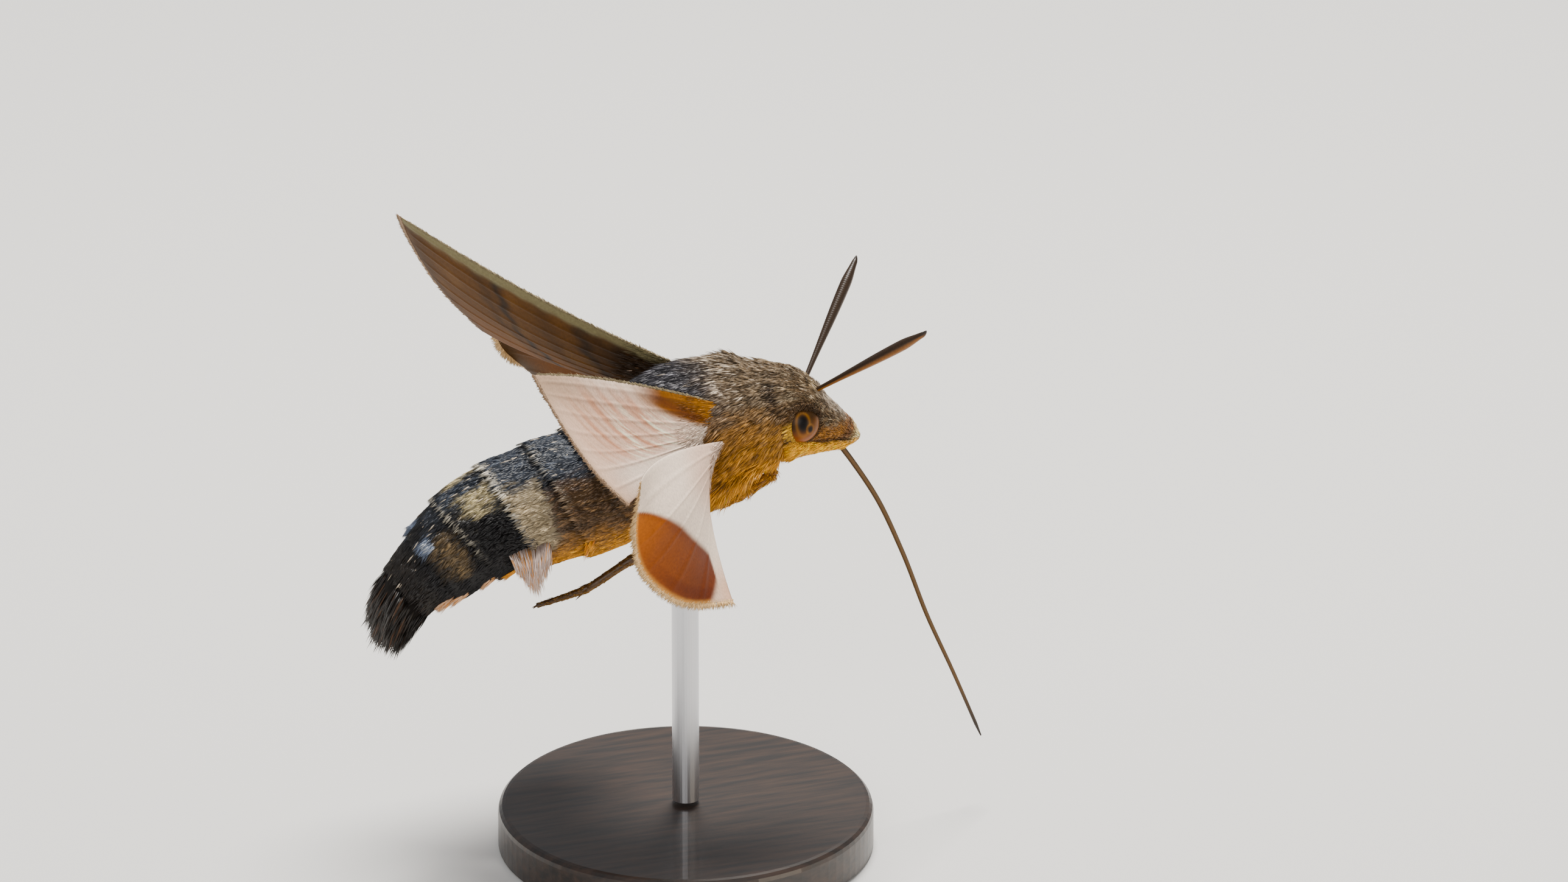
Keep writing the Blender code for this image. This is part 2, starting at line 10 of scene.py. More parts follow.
import bpy
import numpy as np
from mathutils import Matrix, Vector

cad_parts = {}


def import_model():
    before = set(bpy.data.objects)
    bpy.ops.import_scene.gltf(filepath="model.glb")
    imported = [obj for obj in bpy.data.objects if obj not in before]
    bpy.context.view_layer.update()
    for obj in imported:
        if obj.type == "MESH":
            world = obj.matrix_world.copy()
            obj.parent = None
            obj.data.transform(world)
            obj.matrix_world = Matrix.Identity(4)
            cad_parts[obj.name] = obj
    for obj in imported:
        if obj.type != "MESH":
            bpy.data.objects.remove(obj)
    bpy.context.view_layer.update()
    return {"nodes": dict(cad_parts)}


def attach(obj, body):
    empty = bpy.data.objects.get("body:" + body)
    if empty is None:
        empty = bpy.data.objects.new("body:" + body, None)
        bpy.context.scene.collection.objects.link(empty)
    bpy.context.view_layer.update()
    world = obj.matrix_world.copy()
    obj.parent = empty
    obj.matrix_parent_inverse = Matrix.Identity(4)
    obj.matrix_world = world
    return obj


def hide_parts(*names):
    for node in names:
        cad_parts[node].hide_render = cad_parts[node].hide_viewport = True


MM = 0.001
SEED = 20
ROOT_SINK = 0.05  # how deep the tufts' roots stand in the skin
TUFT_POINTS = 7
TUFT_PATCH = np.array(((0, 0), (1, 0), (0.5, 0.1), (0, 0.6), (1, 0.6), (0.5, 0.7), (0.5, 1))) * 0.003
SKIN_ROWS, SKIN_COLUMNS = 330, 132
# How much darker the skin is painted than the coat's markings, as painted shade under the coat.
SKIN_SHADE = 0.55
LEFT, RIGHT = 1, -1
SIDE_NAMES = {LEFT: "left", RIGHT: "right"}
UP = np.array((0.0, 0.0, 1.0))
ACROSS = np.array((0.0, 1.0, 0.0))
THORAX_CENTRE = np.array((1.5, 0.0, 29.5))

# The photograph's view
IMAGE_WIDTH = 2576
PIXELS_PER_MM = 25.0
CAMERA_AZIMUTH = math.radians(-19.3)
CAMERA_ELEVATION = math.radians(23.4)
CAMERA_DISTANCE = 0.8
SENSOR_WIDTH = 36.0
AIM_RIGHT, AIM_UP = 5.12, -0.5  # picture centre from the thorax centre, across the view and up it

# The body's spine, as in the part's source: x, z, half width, depth above it and depth below it
SPINE = np.array((
    (-22.1, -10.4, 2.9, 1.0, 1.0),
    (-20.8, -8.4, 3.0, 1.6, 1.6),
    (-18.3, -6.4, 3.6, 2.9, 2.7),
    (-15.1, -4.4, 4.1, 3.7, 3.4),
    (-11.6, -3.5, 4.3, 4.2, 3.9),
    (-7.8, -2.75, 4.4, 4.5, 4.3),
    (-5.0, -1.6, 4.7, 4.9, 4.5),
    (-2.2, -0.55, 4.9, 5.5, 4.2),
    (0.0, 0.0, 4.85, 5.45, 3.8),
    (2.9, 0.33, 4.2, 4.6, 3.2),
    (4.8, 0.5, 3.4, 3.55, 3.0),
    (6.3, 0.25, 2.85, 2.9, 2.75),
    (7.8, -0.35, 2.2, 2.0, 2.1),
    (9.1, -0.95, 1.45, 1.3, 1.4),
    (10.1, -1.45, 0.8, 0.75, 0.8),
    (10.65, -1.75, 0.3, 0.35, 0.35),
))
SEGMENT_X = (-20.4, -18.6, -16.5, -14.1, -11.2, -8.0, -5.2)
# How far the abdomen's rings lean forward at degrees above the flank, and how pale their edges are
RING_HEIGHTS = (-90, -24, -6, 34, 68, 90)
RING_LEANS = (2.4, 1.8, 1.2, 0.5, 0.0, 0.0)
RING_PALENESS = (0.0, 0.6, 0.9, 0.25, 0.1)
PALE_RINGS = (2, 3)  # whose fringes have the palest tips
NECK_X = 4.0
EYE_CENTRE = np.array((5.75, 2.15, 0.8))
EYE_RADIUS = 1.3
MASK_HEIGHT, MASK_SLOPE = -0.1, -0.29  # of the line from under the eye to the snout
CHEEK_HALF_WIDTH = 2.2
EYE_SPOTS = (((-0.1, 0.9, 0.38), 0.2, 0.45), ((0.26, 0.93, -0.02), 0.12, 0.8))  # place, size and flatness
ANTENNA_ROOT = np.array((6.9, 0.65, 2.1))
ANTENNA_TIP = np.array((12.7, 6.6, 7.9))
ANTENNA_ROOT_RADIUS = 0.15
ANTENNA_CLUB_RADIUS = 0.37
ANTENNA_RINGS = 62
TONGUE_RING = 0.16
PROBOSCIS_ROUTE = (
    (8.9, -1.5), (10.3, -3.6), (11.9, -6.3), (13.7, -10.4), (15.6, -15.6), (17.3, -19.6), (19.4, -24.8)
)

# Legs from hip to claw, as in the part's source
HIP = (-1.6, 1.8, -4.2)
HIND_LEG = (HIP, (-3.2, 1.85, -6.5), (-5.8, 1.75, -7.5), (-8.9, 1.6, -9.2), (-12.3, 1.5, -9.95))
TUCKED_LEG = (HIP, (-3.2, 1.9, -6.5), (-5.8, 1.9, -7.3), (-8.9, 1.9, -8.1), (-11.6, 1.8, -8.4))
MIDDLE_LEG = ((0.9, 1.8, -2.5), (1.9, 2.3, -3.4), (-0.4, 2.4, -4.1), (-3.0, 2.6, -4.7), (-5.0, 2.7, -5.7))
FORE_LEG = ((3.3, 0.8, -2.2), (4.2, 0.9, -3.1), (3.0, 1.2, -3.7), (1.2, 1.35, -4.4), (-0.6, 1.4, -4.8))
LEG_RADII = (0.34, 0.34, 0.3, 0.26, 0.15)
SPUR_LENGTH = 0.9

# Wings, as in the part's source
WING_HINGE = np.array((-0.2, 3.85, 3.3))
SPAN = np.array((-0.768, 0.483, 0.422))
CHORD = np.array((0.065, 0.736, -0.672))
FOREWING_RAYS = (
    ((-1.6, -0.3, 0.0), (9.3, -1.5, -1.2), (21.2, 0.1, 0.0)),
    ((-1.6, 0.45, -0.5), (9.2, 0.6, -1.9), (20.2, 1.9, -0.2)),
    ((-1.5, 0.6, -1.0), (8.7, 2.5, -2.2), (18.3, 4.2, -0.6)),
    ((-1.4, 0.75, -1.5), (7.9, 3.8, -2.2), (16.0, 6.2, -1.0)),
    ((-1.3, 0.9, -1.9), (7.2, 5.0, -2.1), (13.0, 7.9, -1.3)),
)
FOREWING_VEINS = (0.06, 0.17, 0.29, 0.42, 0.56, 0.71, 0.87)
# The forewing's dark lines: place along it, strength and width
FOREWING_LINES = ((0.42, 0.85, 0.03), (0.55, 0.35, 0.04), (0.7, 0.9, 0.02), (0.76, 0.45, 0.03))
HINDWING_RAYS = (
    ((-0.9, 1.7, -1.0), (7.6, 4.0, -0.6), (13.5, 7.1, 0.1)),
    ((-0.9, 2.0, -1.7), (8.3, 7.4, -0.9), (11.3, 9.4, -1.1)),
    ((-0.9, 2.3, -2.3), (6.6, 8.4, -1.5), (8.9, 11.1, -1.0)),
    ((-0.9, 2.6, -2.9), (3.4, 8.8, -2.6), (5.2, 12.5, -1.7)),
    ((-0.9, 2.9, -3.5), (-0.1, 8.0, -3.8), (0.4, 12.3, -3.2)),
)
HINDWING_FOLD = (0.3, -1.5, -3.2, -2.7, -0.5)
HINDWING_VEINS = (0.12, 0.3, 0.48, 0.66, 0.84)
WING_THICKNESS = 0.12

# Colours, as red, green and blue in display values
RICHNESS = 1.3
DEPTH = 0.8
BLACK = (14, 12, 13)
GREY_BROWN, STREAK_BROWN, DARK_BROWN = (112, 98, 82), (150, 132, 110), (58, 42, 30)
SLATE, SLATE_DARK, SLATE_PALE = (72, 74, 82), (42, 46, 54), (92, 98, 108)
GOLD, ORANGE_GOLD, BELLY_GOLD = (172, 124, 36), (212, 154, 34), (186, 132, 48)
CREAM, CREAM_GREY, PATCH_CREAM = (238, 180, 92), (168, 154, 130), (186, 172, 138)
# The glint colour is that of painted highlights on the hairs.
GLINT, NECK_SHADE, TUFT_WHITE = (236, 220, 200), (40, 30, 24), (228, 208, 198)

FACE_BROWN, FACE_STREAK, FACE_TAWNY, FACE_LINE = (96, 80, 62), (178, 164, 142), (146, 100, 34), (58, 34, 18)
FOREHEAD_PALE, SNOUT_BROWN, SNOUT_CREAM = (196, 184, 170), (112, 70, 30), (238, 216, 170)
BROW_BROWN, EYE_RIM_PALE, FEELER_PALE = (70, 50, 32), (236, 190, 104), (232, 206, 158)

FLANK_BROWN, FLANK_STREAK, BAND_STREAK = (84, 66, 50), (122, 98, 72), (112, 96, 72)
PATCH_BROWN, BELLY_BROWN, SPOT_BLUE = (104, 88, 66), (150, 100, 40), (96, 104, 120)
RING_GAP, RING_PALE = (10, 9, 10), (214, 206, 190)
TAIL_BLACK, TAIL_BROWN = (24, 19, 15), (74, 48, 28)

EYE_BROWN, EYE_AMBER, EYE_TAN = (48, 32, 12), (134, 78, 10), (132, 84, 26)
EYE_HALO, EYE_SPOT = (150, 104, 48), (10, 6, 4)
FEELER_DARK, FEELER_ORANGE, FEELER_END = (44, 32, 22), (122, 80, 8), (40, 34, 30)
TONGUE_BROWN, TONGUE_GOLD, TONGUE_END = (58, 42, 24), (120, 86, 36), (34, 26, 20)
LEG_BROWN, LEG_TAWNY, LEG_END, LEG_SCALES = (64, 46, 28), (118, 84, 44), (40, 28, 18), (104, 76, 40)
FOLDED_BROWN, FOLDED_GOLD = (110, 74, 30), (168, 116, 40)

WING_BROWN, WING_DARK, WING_EDGE = (84, 56, 24), (38, 28, 20), (108, 70, 20)
WING_COSTA, WING_MOTTLE, WING_FRONT = (122, 114, 88), (112, 82, 50), (150, 128, 108)
# The undersides' pale colour here is partly their own and partly painted sunlit sheen, and the shine colour
# is a painted highlight.
WING_PALE_SHEEN, WING_PINK, WING_ROSE = (250, 232, 216), (186, 128, 100), (142, 96, 68)
WING_SHINE, WING_HAZE, WING_TIP = (255, 250, 226), (206, 164, 138), (176, 150, 128)
# The shoulder colours paint the forewing underside's base as it looks in shade.
SHOULDER_BROWN, SHOULDER_GOLD, SHOULDER_LINE = (128, 86, 30), (160, 112, 36), (96, 54, 34)
HIND_TAWNY, HIND_BROWN, HIND_BASE, HIND_REAR = (98, 62, 6), (60, 42, 20), (216, 176, 156), (196, 150, 122)
HIND_ORANGE, HIND_DEEP, HIND_GOLD, HIND_RIM = (128, 72, 0), (84, 38, 0), (186, 112, 20), (222, 168, 110)
FRINGE_GREY, COSTA_GREY, FRINGE_PALE = (164, 140, 118), (136, 124, 100), (222, 190, 148)


def linear(colour):
    """Display values turned into the light values that shaders use, and made a little richer."""
    share = np.asarray(colour, float) / 255
    light = np.where(share <= 0.04045, share / 12.92, ((share + 0.055) / 1.055) ** 2.4)
    grey = light.mean()
    return np.clip(grey + (light - grey) * RICHNESS, 0.002, 1) * DEPTH


def smooth(low, high, value):
    """0 before low, 1 past high, and a smooth change between them. It falls where low is above high."""
    share = np.clip((np.asarray(value, float) - low) / (high - low), 0, 1)
    return share * share * (3 - 2 * share)


def window(low, high, soft, value):
    """1 between low and high, falling to 0 over soft on each side."""
    return smooth(low - soft, low + soft, value) * (1 - smooth(high - soft, high + soft, value))


def hump(value, middle, spread):
    """1 at the middle, falling off smoothly on both sides."""
    return np.exp(-(((value - middle) / spread) ** 2))


def mask_line(x):
    """Height of the line from under the eye to the snout, between the dark face and the pale cheek."""
    return MASK_HEIGHT + MASK_SLOPE * (x - 5.0)


def mix(base, other, share):
    """Colours blended row by row."""
    share = np.asarray(share, float)[..., None]
    return base * (1 - share) + other * share


def over(rows, *layers):
    """Colours with layers laid over them: each is a colour and the share of it that covers a place."""
    for colour, share in layers:
        rows = mix(rows, linear(colour), share)
    return rows


def painted(base, *layers):
    """One colour all over, with layers laid over it."""
    return over(linear(base), *layers)


def unit(ways):
    """Directions brought to length 1."""
    return ways / np.linalg.norm(ways, axis=-1, keepdims=True)


def lengths_along(rows):
    """Lengths along a route at its points, from 0 at the first."""
    return np.concatenate(([0.0], np.cumsum(np.linalg.norm(np.diff(rows, axis=0), axis=1))))


def mirrored(place, side):
    """A place or a row of places on the left side, taken to this side."""
    return np.array(place) * np.array((1, side, 1))


def hermite(rows, along, slopes, wanted):
    """Cubic values at the wanted places between rows that have these slopes."""
    spans = np.clip(np.searchsorted(along, wanted, side="right") - 1, 0, len(along) - 2)
    length = (along[spans + 1] - along[spans])[:, None]
    t = (wanted - along[spans])[:, None] / length
    return (
        rows[spans] * (2 * t**3 - 3 * t**2 + 1)
        + rows[spans + 1] * (3 * t**2 - 2 * t**3)
        + slopes[spans] * length * (t**3 - 2 * t**2 + t)
        + slopes[spans + 1] * length * (t**3 - t**2)
    )


SPINE_ALONG = lengths_along(SPINE[:, :2])
SPINE_SLOPES = np.gradient(SPINE, SPINE_ALONG, axis=0)
SPINE_LENGTH = SPINE_ALONG[-1]
SPINE_STEP = 0.05


def along_at_x(x):
    """Length along the spine where it passes x."""
    return np.interp(x, SPINE[:, 0], SPINE_ALONG)


SEGMENT_ALONG = [float(along_at_x(x)) for x in SEGMENT_X]


def spine_rows(along):
    """The spine's table at lengths along it."""
    return hermite(SPINE, SPINE_ALONG, SPINE_SLOPES, np.clip(along, 0, SPINE_LENGTH))


def spine_at(along):
    """Centres, forward and upward directions and the rest of the spine's columns at lengths along it."""
    rows = spine_rows(along)
    change = spine_rows(along + SPINE_STEP) - spine_rows(along - SPINE_STEP)
    forward = unit(np.stack((change[:, 0], np.zeros(len(along)), change[:, 1]), axis=1))
    upward = np.cross(forward, ACROSS)
    centres = np.stack((rows[:, 0], np.zeros(len(along)), rows[:, 1]), axis=1)
    return centres, forward, upward, rows[:, 2], rows[:, 3], rows[:, 4]


def coat_depth(along):
    """How far the skin lies inside the coat's outer surface."""
    deeper = 0.26 * window(SEGMENT_ALONG[-1], SPINE_ALONG[-6], 1.5, along)
    return 0.16 + deeper - 0.06 * smooth(32, 35, along)


def flank_height(turn):
    """Degrees above the flank: 90 along the back, 0 on either side and -90 along the belly."""
    return np.degrees(np.arcsin(np.clip(np.sin(turn), -1, 1)))


def ring_lean(along, turn):
    """How far the abdomen's rings lean forward towards the belly, at places on the body."""
    lean = np.interp(flank_height(turn), RING_HEIGHTS, RING_LEANS)
    return lean * np.interp(along, SEGMENT_ALONG[1:5], (0.0, 0.3, 0.55, 1.0))


def ring_step(along):
    """How far each abdomen segment's rear edge stands over the next one."""
    rise = np.zeros_like(along)
    for rear, front in zip(SEGMENT_ALONG[:-1], SEGMENT_ALONG[1:]):
        share = np.clip((along - rear) / (front - rear), 0, 1)
        rise = np.where((along >= rear) & (along < front), 0.2 * (1 - share) ** 1.5 - 0.05, rise)
    return rise


def head_form(along, turn, centres_z):
    """The lift of the crown, of each eye's brow, and of the cheeks under the line from eye to snout."""
    x = np.interp(along, SPINE_ALONG, SPINE[:, 0])
    height = flank_height(turn)
    drop = np.degrees(np.arctan2(mask_line(x) - centres_z, CHEEK_HALF_WIDTH))
    inside = smooth(4.6, 5.3, x) * (1 - smooth(9.6, 10.4, x))
    brow = 0.16 * hump(x, 6.0, 0.9) * hump(height, 44, 12)
    cheek = 0.14 * smooth(3, -8, height - drop) * smooth(-95, -50, height) * inside
    groove = -0.08 * hump(height, drop + 2, 4) * inside
    collar = -0.12 * hump(x, 4.45, 0.3) * smooth(40, -10, height)
    crown = 0.34 * window(2.0, 6.4, 1.2, x) * smooth(35, 75, height)
    return brow + cheek + groove + collar + crown


def body_point(along, turn, lift=0.0):
    """Points of the body's surface, lifted from the skin."""
    flat, turns = along.ravel(), turn.ravel()
    centres, _, upward, width, above, below = spine_at(flat)
    inset = coat_depth(flat) - ring_step(flat - ring_lean(flat, turns)) - lift
    inset = inset - head_form(flat, turns, centres[:, 2])
    inset = np.minimum(inset, width * 0.8)
    depth = np.where(np.sin(turns) > 0, above, below)
    depth = np.maximum(depth - inset, 0.05)
    out = centres + (np.maximum(width - inset, 0.05) * np.cos(turns))[:, None] * ACROSS
    out = out + (depth * np.sin(turns))[:, None] * upward
    return out.reshape(*along.shape, 3)


def body_axes(along, turn):
    """Backward, round-the-body and outward directions of the surface at places on it."""
    step_a, step_t = 0.05, 0.02
    back = body_point(along - step_a, turn) - body_point(along + step_a, turn)
    round_ = body_point(along, turn + step_t) - body_point(along, turn - step_t)
    back, round_ = unit(back), unit(round_)
    out = unit(np.cross(back, round_))
    return back, np.cross(out, back), out


def ripple(points, size, seed, squeeze=1.0):
    """A smooth uneven value between about -1 and 1 that changes over lengths of size.

    A squeeze below 1 draws it out along x.
    """
    chance = np.random.default_rng(seed)
    points = points * np.array((squeeze, 1.0, 1.0))
    total = np.zeros(points.shape[:-1])
    for _ in range(6):
        way = chance.normal(size=3)
        way *= 2 * math.pi / size / np.linalg.norm(way) * chance.uniform(0.6, 1.5)
        total += np.sin(points @ way + chance.uniform(0, 2 * math.pi))
    return total / 3


def distance_to(points, place):
    """Distance from a place on the left side of the body, or from its mirror image on the right."""
    folded = points * np.array((1, 0, 1)) + np.abs(points) * ACROSS
    return np.linalg.norm(folded - place, axis=-1)


def ring_marks(along, height):
    """Shares of pale edge and of dark gap along the rear edges of the abdomen's segments."""
    pale, dark = np.zeros_like(along), np.zeros_like(along)
    for edge, strength in zip(SEGMENT_ALONG[1:-1], RING_PALENESS):
        pale = np.maximum(pale, strength * hump(along, edge + 0.1, 0.07))
        dark = np.maximum(dark, 0.8 * hump(along, edge - 0.2, 0.16))
    return pale * smooth(-10, 50, height), dark


def thorax_colour(x, height, streaks):
    """Grey brown, slate on the rear of the back, gold on the flanks and orange gold underneath."""
    behind_neck = smooth(-7, -3, x)
    gold = smooth(46, 2, height) * behind_neck
    low_gold = smooth(-6, -48, height)
    return painted(
        GREY_BROWN,
        (STREAK_BROWN, streaks * 0.5),
        (SLATE, window(-6.5, 0.6, 1.2, x) * smooth(12, 50, height) * 0.85),
        (GOLD, gold * 0.85),
        # The orange gold underneath is partly the fur's colour and partly painted warm light reflected from
        # below.
        (ORANGE_GOLD, low_gold * behind_neck),
        (DARK_BROWN, streaks * gold * (0.6 - low_gold * 0.4)),
        (NECK_SHADE, hump(x, 4.3, 0.4) * smooth(10, 40, height) * smooth(75, 50, height) * 0.8),
        (CREAM, hump(x, 4.85, 0.16) * window(-60, 14, 8, height) * 0.7),
    )


def face_colour(x, height, above_line, streaks):
    """A grey face with a pale forehead, a tawny band beside the snout, a dark line, and a cream cheek."""
    cheek = smooth(0.1, -0.1, above_line)
    return painted(
        FACE_BROWN,
        (FACE_STREAK, streaks * 0.45),
        (FOREHEAD_PALE, window(7.0, 9.4, 0.6, x) * smooth(40, 62, height) * (0.35 + 0.5 * streaks)),
        (FACE_TAWNY, window(6.3, 9.4, 0.6, x) * window(0.1, 1.0, 0.35, above_line) * 0.85),
        (SNOUT_BROWN, window(9.3, 10.2, 0.3, x) * smooth(0.0, 0.3, above_line) * 0.6),
        (FACE_LINE, window(5.0, 9.8, 0.5, x) * hump(above_line, 0.12, 0.12) * 0.8),
        (SNOUT_CREAM, smooth(9.9, 10.35, x) * 0.9),
        (CREAM, cheek),
        # The lower cheek's orange gold is partly the fur's colour and partly painted warm light reflected
        # from below.
        (ORANGE_GOLD, cheek * smooth(-0.5, -1.3, above_line) * 0.6),
    )


def abdomen_colour(along, x, leaning, height, streaks, lean):
    """Slate above, brown at the sides, a cream band, black and brown patches and pale ring edges."""
    slate = painted(
        SLATE_DARK,
        (SLATE_PALE, streaks * 0.3),
        (BLACK, smooth(-13.6, -16.4, x) * smooth(84, 58, height)),
        (BLACK, smooth(-16.2, -18.2, x)),
    )
    brown = painted(FLANK_BROWN, (FLANK_STREAK, streaks * 0.5))
    band = painted(CREAM_GREY, (BAND_STREAK, streaks * 0.5))
    in_black = smooth(-14.1, -14.3, leaning)
    pale, gap = ring_marks(along - lean, height)
    rows = mix(slate, brown, window(-11.4, -5.0, 0.5, x) * smooth(50, 28, height))
    # The belly's gold is partly the fur's colour and partly painted warm light reflected from below.
    rows = over(rows, (BELLY_GOLD, smooth(2, -50, height) * smooth(-13.6, -12.2, x)))
    in_band = smooth(-14.1, -13.9, leaning) * smooth(-11.1, -12.0, x) * window(-20, 50, 7, height)
    above_black = smooth(-16.1, -15.2, x) * in_black * window(46, 76, 7, height)
    return over(
        mix(rows, band, in_band),
        (BLACK, smooth(-16.8, -16.2, x) * in_black * smooth(50, 40, height)),
        (PATCH_CREAM, above_black * (0.9 - 0.7 * streaks)),
        (PATCH_BROWN, window(-18.2, -16.8, 0.4, x) * window(4, 54, 9, height) * (0.85 - 0.6 * streaks)),
        (BELLY_BROWN, smooth(-58, -74, height) * smooth(-19.0, -17.5, x)),
        (SPOT_BLUE, window(-18.7, -17.8, 0.2, x) * window(54, 72, 4, height)),
        (TAIL_BLACK, smooth(-18.9, -19.9, x)),
        (RING_GAP, gap * 0.75),
        (RING_PALE, pale * 0.75),
    )


def body_colour(along, turn):
    """The markings of skin and coat at places on the body, in light values."""
    x = np.interp(along, SPINE_ALONG, SPINE[:, 0])
    points = body_point(along, turn)
    lean = ring_lean(along, turn)
    leaning = x - lean
    x = x + 0.2 * ripple(points, 1.4, 4)
    height = flank_height(turn) + 5 * ripple(points, 0.7, 5, 0.5)
    streaks = smooth(0.1, 0.9, ripple(points, 0.55, 6, 0.4))
    above_line = points[..., 2] - mask_line(x)

    colour = thorax_colour(x, height, streaks)
    colour = mix(colour, face_colour(x, height, above_line, streaks), smooth(4.5, 5.2, x))
    from_eye = distance_to(points, EYE_CENTRE) - EYE_RADIUS
    from_feeler = distance_to(points, ANTENNA_ROOT)
    behind_eye = smooth(5.7, 5.1, x) * smooth(1.6, 0.9, above_line)
    colour = over(
        colour,
        (BROW_BROWN, smooth(0.42, 0.18, from_eye) * smooth(-0.5, 0.1, above_line) * 0.8),
        (EYE_RIM_PALE, smooth(0.12, 0.04, from_eye) * behind_eye * 0.6),
        (FEELER_PALE, smooth(1.0, 0.4, from_feeler) * 0.6),
    )
    abdomen = abdomen_colour(along, x, leaning, height, streaks, lean)
    return mix(colour, abdomen, smooth(-5.2, -6.4, x))


def mesh_object(name, points, faces_by_size, colours):
    """A painted mesh from points in millimetres and from arrays of faces, each with faces of one size."""
    points = points.reshape(-1, 3) + THORAX_CENTRE
    mesh = bpy.data.meshes.new(name)
    mesh.vertices.add(len(points))
    mesh.vertices.foreach_set("co", (points * MM).astype(np.float32).ravel())
    corners = np.concatenate([faces.ravel() for faces in faces_by_size]).astype(np.int32)
    sizes = np.concatenate([np.full(len(faces), faces.shape[1]) for faces in faces_by_size])
    starts = np.concatenate(([0], np.cumsum(sizes)[:-1])).astype(np.int32)
    mesh.loops.add(len(corners))
    mesh.loops.foreach_set("vertex_index", corners)
    mesh.polygons.add(len(sizes))
    mesh.polygons.foreach_set("loop_start", starts)
    mesh.update(calc_edges=True)
    mesh.validate()
    mesh.shade_smooth()
    paint = mesh.color_attributes.new("marking", "FLOAT_COLOR", "POINT")
    rows = np.ones((len(points), 4), np.float32)
    rows[:, :3] = colours.reshape(-1, 3)
    paint.data.foreach_set("color", rows.ravel())
    piece = bpy.data.objects.new(name, mesh)
    bpy.context.scene.collection.objects.link(piece)
    return piece


def unwrap(piece, places):
    """Gives the piece its OFBake map from one place for each point."""
    mesh = piece.data
    corners = np.zeros(len(mesh.loops), np.int32)
    mesh.loops.foreach_get("vertex_index", corners)
    layer = mesh.uv_layers.new(name="OFBake")
    layer.uv.foreach_set("vector", np.asarray(places)[corners].astype(np.float32).ravel())


def finish_piece(piece, shader, slot, *nodes):
    """Gives a piece its material and body, and hides the nodes that it stands for. The slot is not used."""
    piece.data.materials.clear()
    piece.data.materials.append(shader)
    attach(piece, "root")
    if nodes:
        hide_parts(*nodes)


def grid_faces(rows, columns, wrap):
    """Quads of a grid of points, closed round its columns where wrap is set."""
    i = np.arange(rows - 1)[:, None]
    j = np.arange(columns if wrap else columns - 1)[None, :]
    ahead = (j + 1) % columns
    corners = (i * columns + j, i * columns + ahead, (i + 1) * columns + ahead, (i + 1) * columns + j)
    return np.stack(corners, axis=-1).reshape(-1, 4)


def end_caps(count, rows, columns):
    """Triangles that close a tube's two ends. The ends' middles are the last two of its points."""
    column = np.arange(columns)
    ahead = (column + 1) % columns
    last = (rows - 1) * columns
    rear = np.stack((np.full_like(column, count - 2), ahead, column), axis=1)
    front = np.stack((np.full_like(column, count - 1), last + column, last + ahead), axis=1)
    return np.concatenate((rear, front))


def tufts(name, look, roots, headings, outwards, lengths, widths, colours, places, bend=0.08, thick=0.35,
          tip=1.25, root=0.3, nodes=()):
    """Joined tapered tufts. Each has a flat three sided root and middle and one point at its tip.

    look is the material and the slot, places are the roots' places on the skin's unwrap, bend is how far a
    tip droops to the skin, as a share of the tuft's length, and root and tip are how bright those ends are.
    A dark root is painted shade deep in the coat, and a tip a little above 1 is painted light on its
    outside.
    """
    lengths, widths = lengths[:, None], widths[:, None]
    across = unit(np.cross(headings, outwards))
    face = np.cross(across, headings)
    points = []
    for share, wide in ((0.0, 0.75), (0.5, 1.0)):
        centre = roots + headings * lengths * share - face * bend * lengths * share**2
        half = widths * wide / 2
        points += [centre + across * half, centre - across * half, centre + face * half * 2 * thick]
    points.append(roots + headings * lengths - face * bend * lengths)
    first = np.arange(len(roots))[:, None] * TUFT_POINTS
    quads = np.concatenate([first + np.array(q) for q in ((3, 5, 2, 0), (5, 4, 1, 2), (4, 3, 0, 1))])
    triangles = np.concatenate([first + np.array(t) for t in ((5, 3, 6), (4, 5, 6), (3, 4, 6), (0, 2, 1))])
    # Painted shade: each tuft is darker at its root, deep in the coat, and brighter at its tip.
    shades = np.array((root, root, root + 0.08, 0.9, 0.9, 1.0, tip))[None, :, None]
    shaded = np.clip(colours[:, None, :] * shades, 0, 1)
    piece = mesh_object(name, np.stack(points, axis=1), (quads, triangles), shaded)
    unwrap(piece, (places[:, None, :] + TUFT_PATCH[None]).reshape(-1, 2))
    finish_piece(piece, *look, *nodes)


def uneven(chance, tone, count):
    """Brightness factors about 1, one for each tuft."""
    return np.exp(chance.normal(0, tone, count))[:, None]


def unwrap_place(along, turn):
    """A place on the unwrap of the body: along the spine by round it."""
    share = np.stack((along / SPINE_LENGTH, (turn % (2 * math.pi)) / (2 * math.pi)), axis=-1)
    return 0.02 + 0.95 * share


def raised(flat, out, degrees):
    """Directions lifted from the surface by an angle for each."""
    rise = np.radians(degrees)[:, None]
    return flat * np.cos(rise) + out * np.sin(rise)


def patch_place(first, second):
    """Places on a piece's own unwrap from two shares of it."""
    return 0.02 + 0.9 * np.stack((first, second), axis=-1)


def new_shader(name, **inputs):
    """A node material, its tree, and its Principled shader with these input values."""
    made = bpy.data.materials.new(name)
    made.use_nodes = True
    shader = made.node_tree.nodes["Principled BSDF"]
    for key, value in inputs.items():
        shader.inputs[key.replace("_", " ")].default_value = value
    return made, made.node_tree, shader


def add(tree, kind, **values):
    """A node with its properties and input values set."""
    node = tree.nodes.new(kind)
    for key, value in values.items():
        if hasattr(node, key):
            setattr(node, key, value)
        else:
            node.inputs[key.replace("_", " ")].default_value = value
    return node


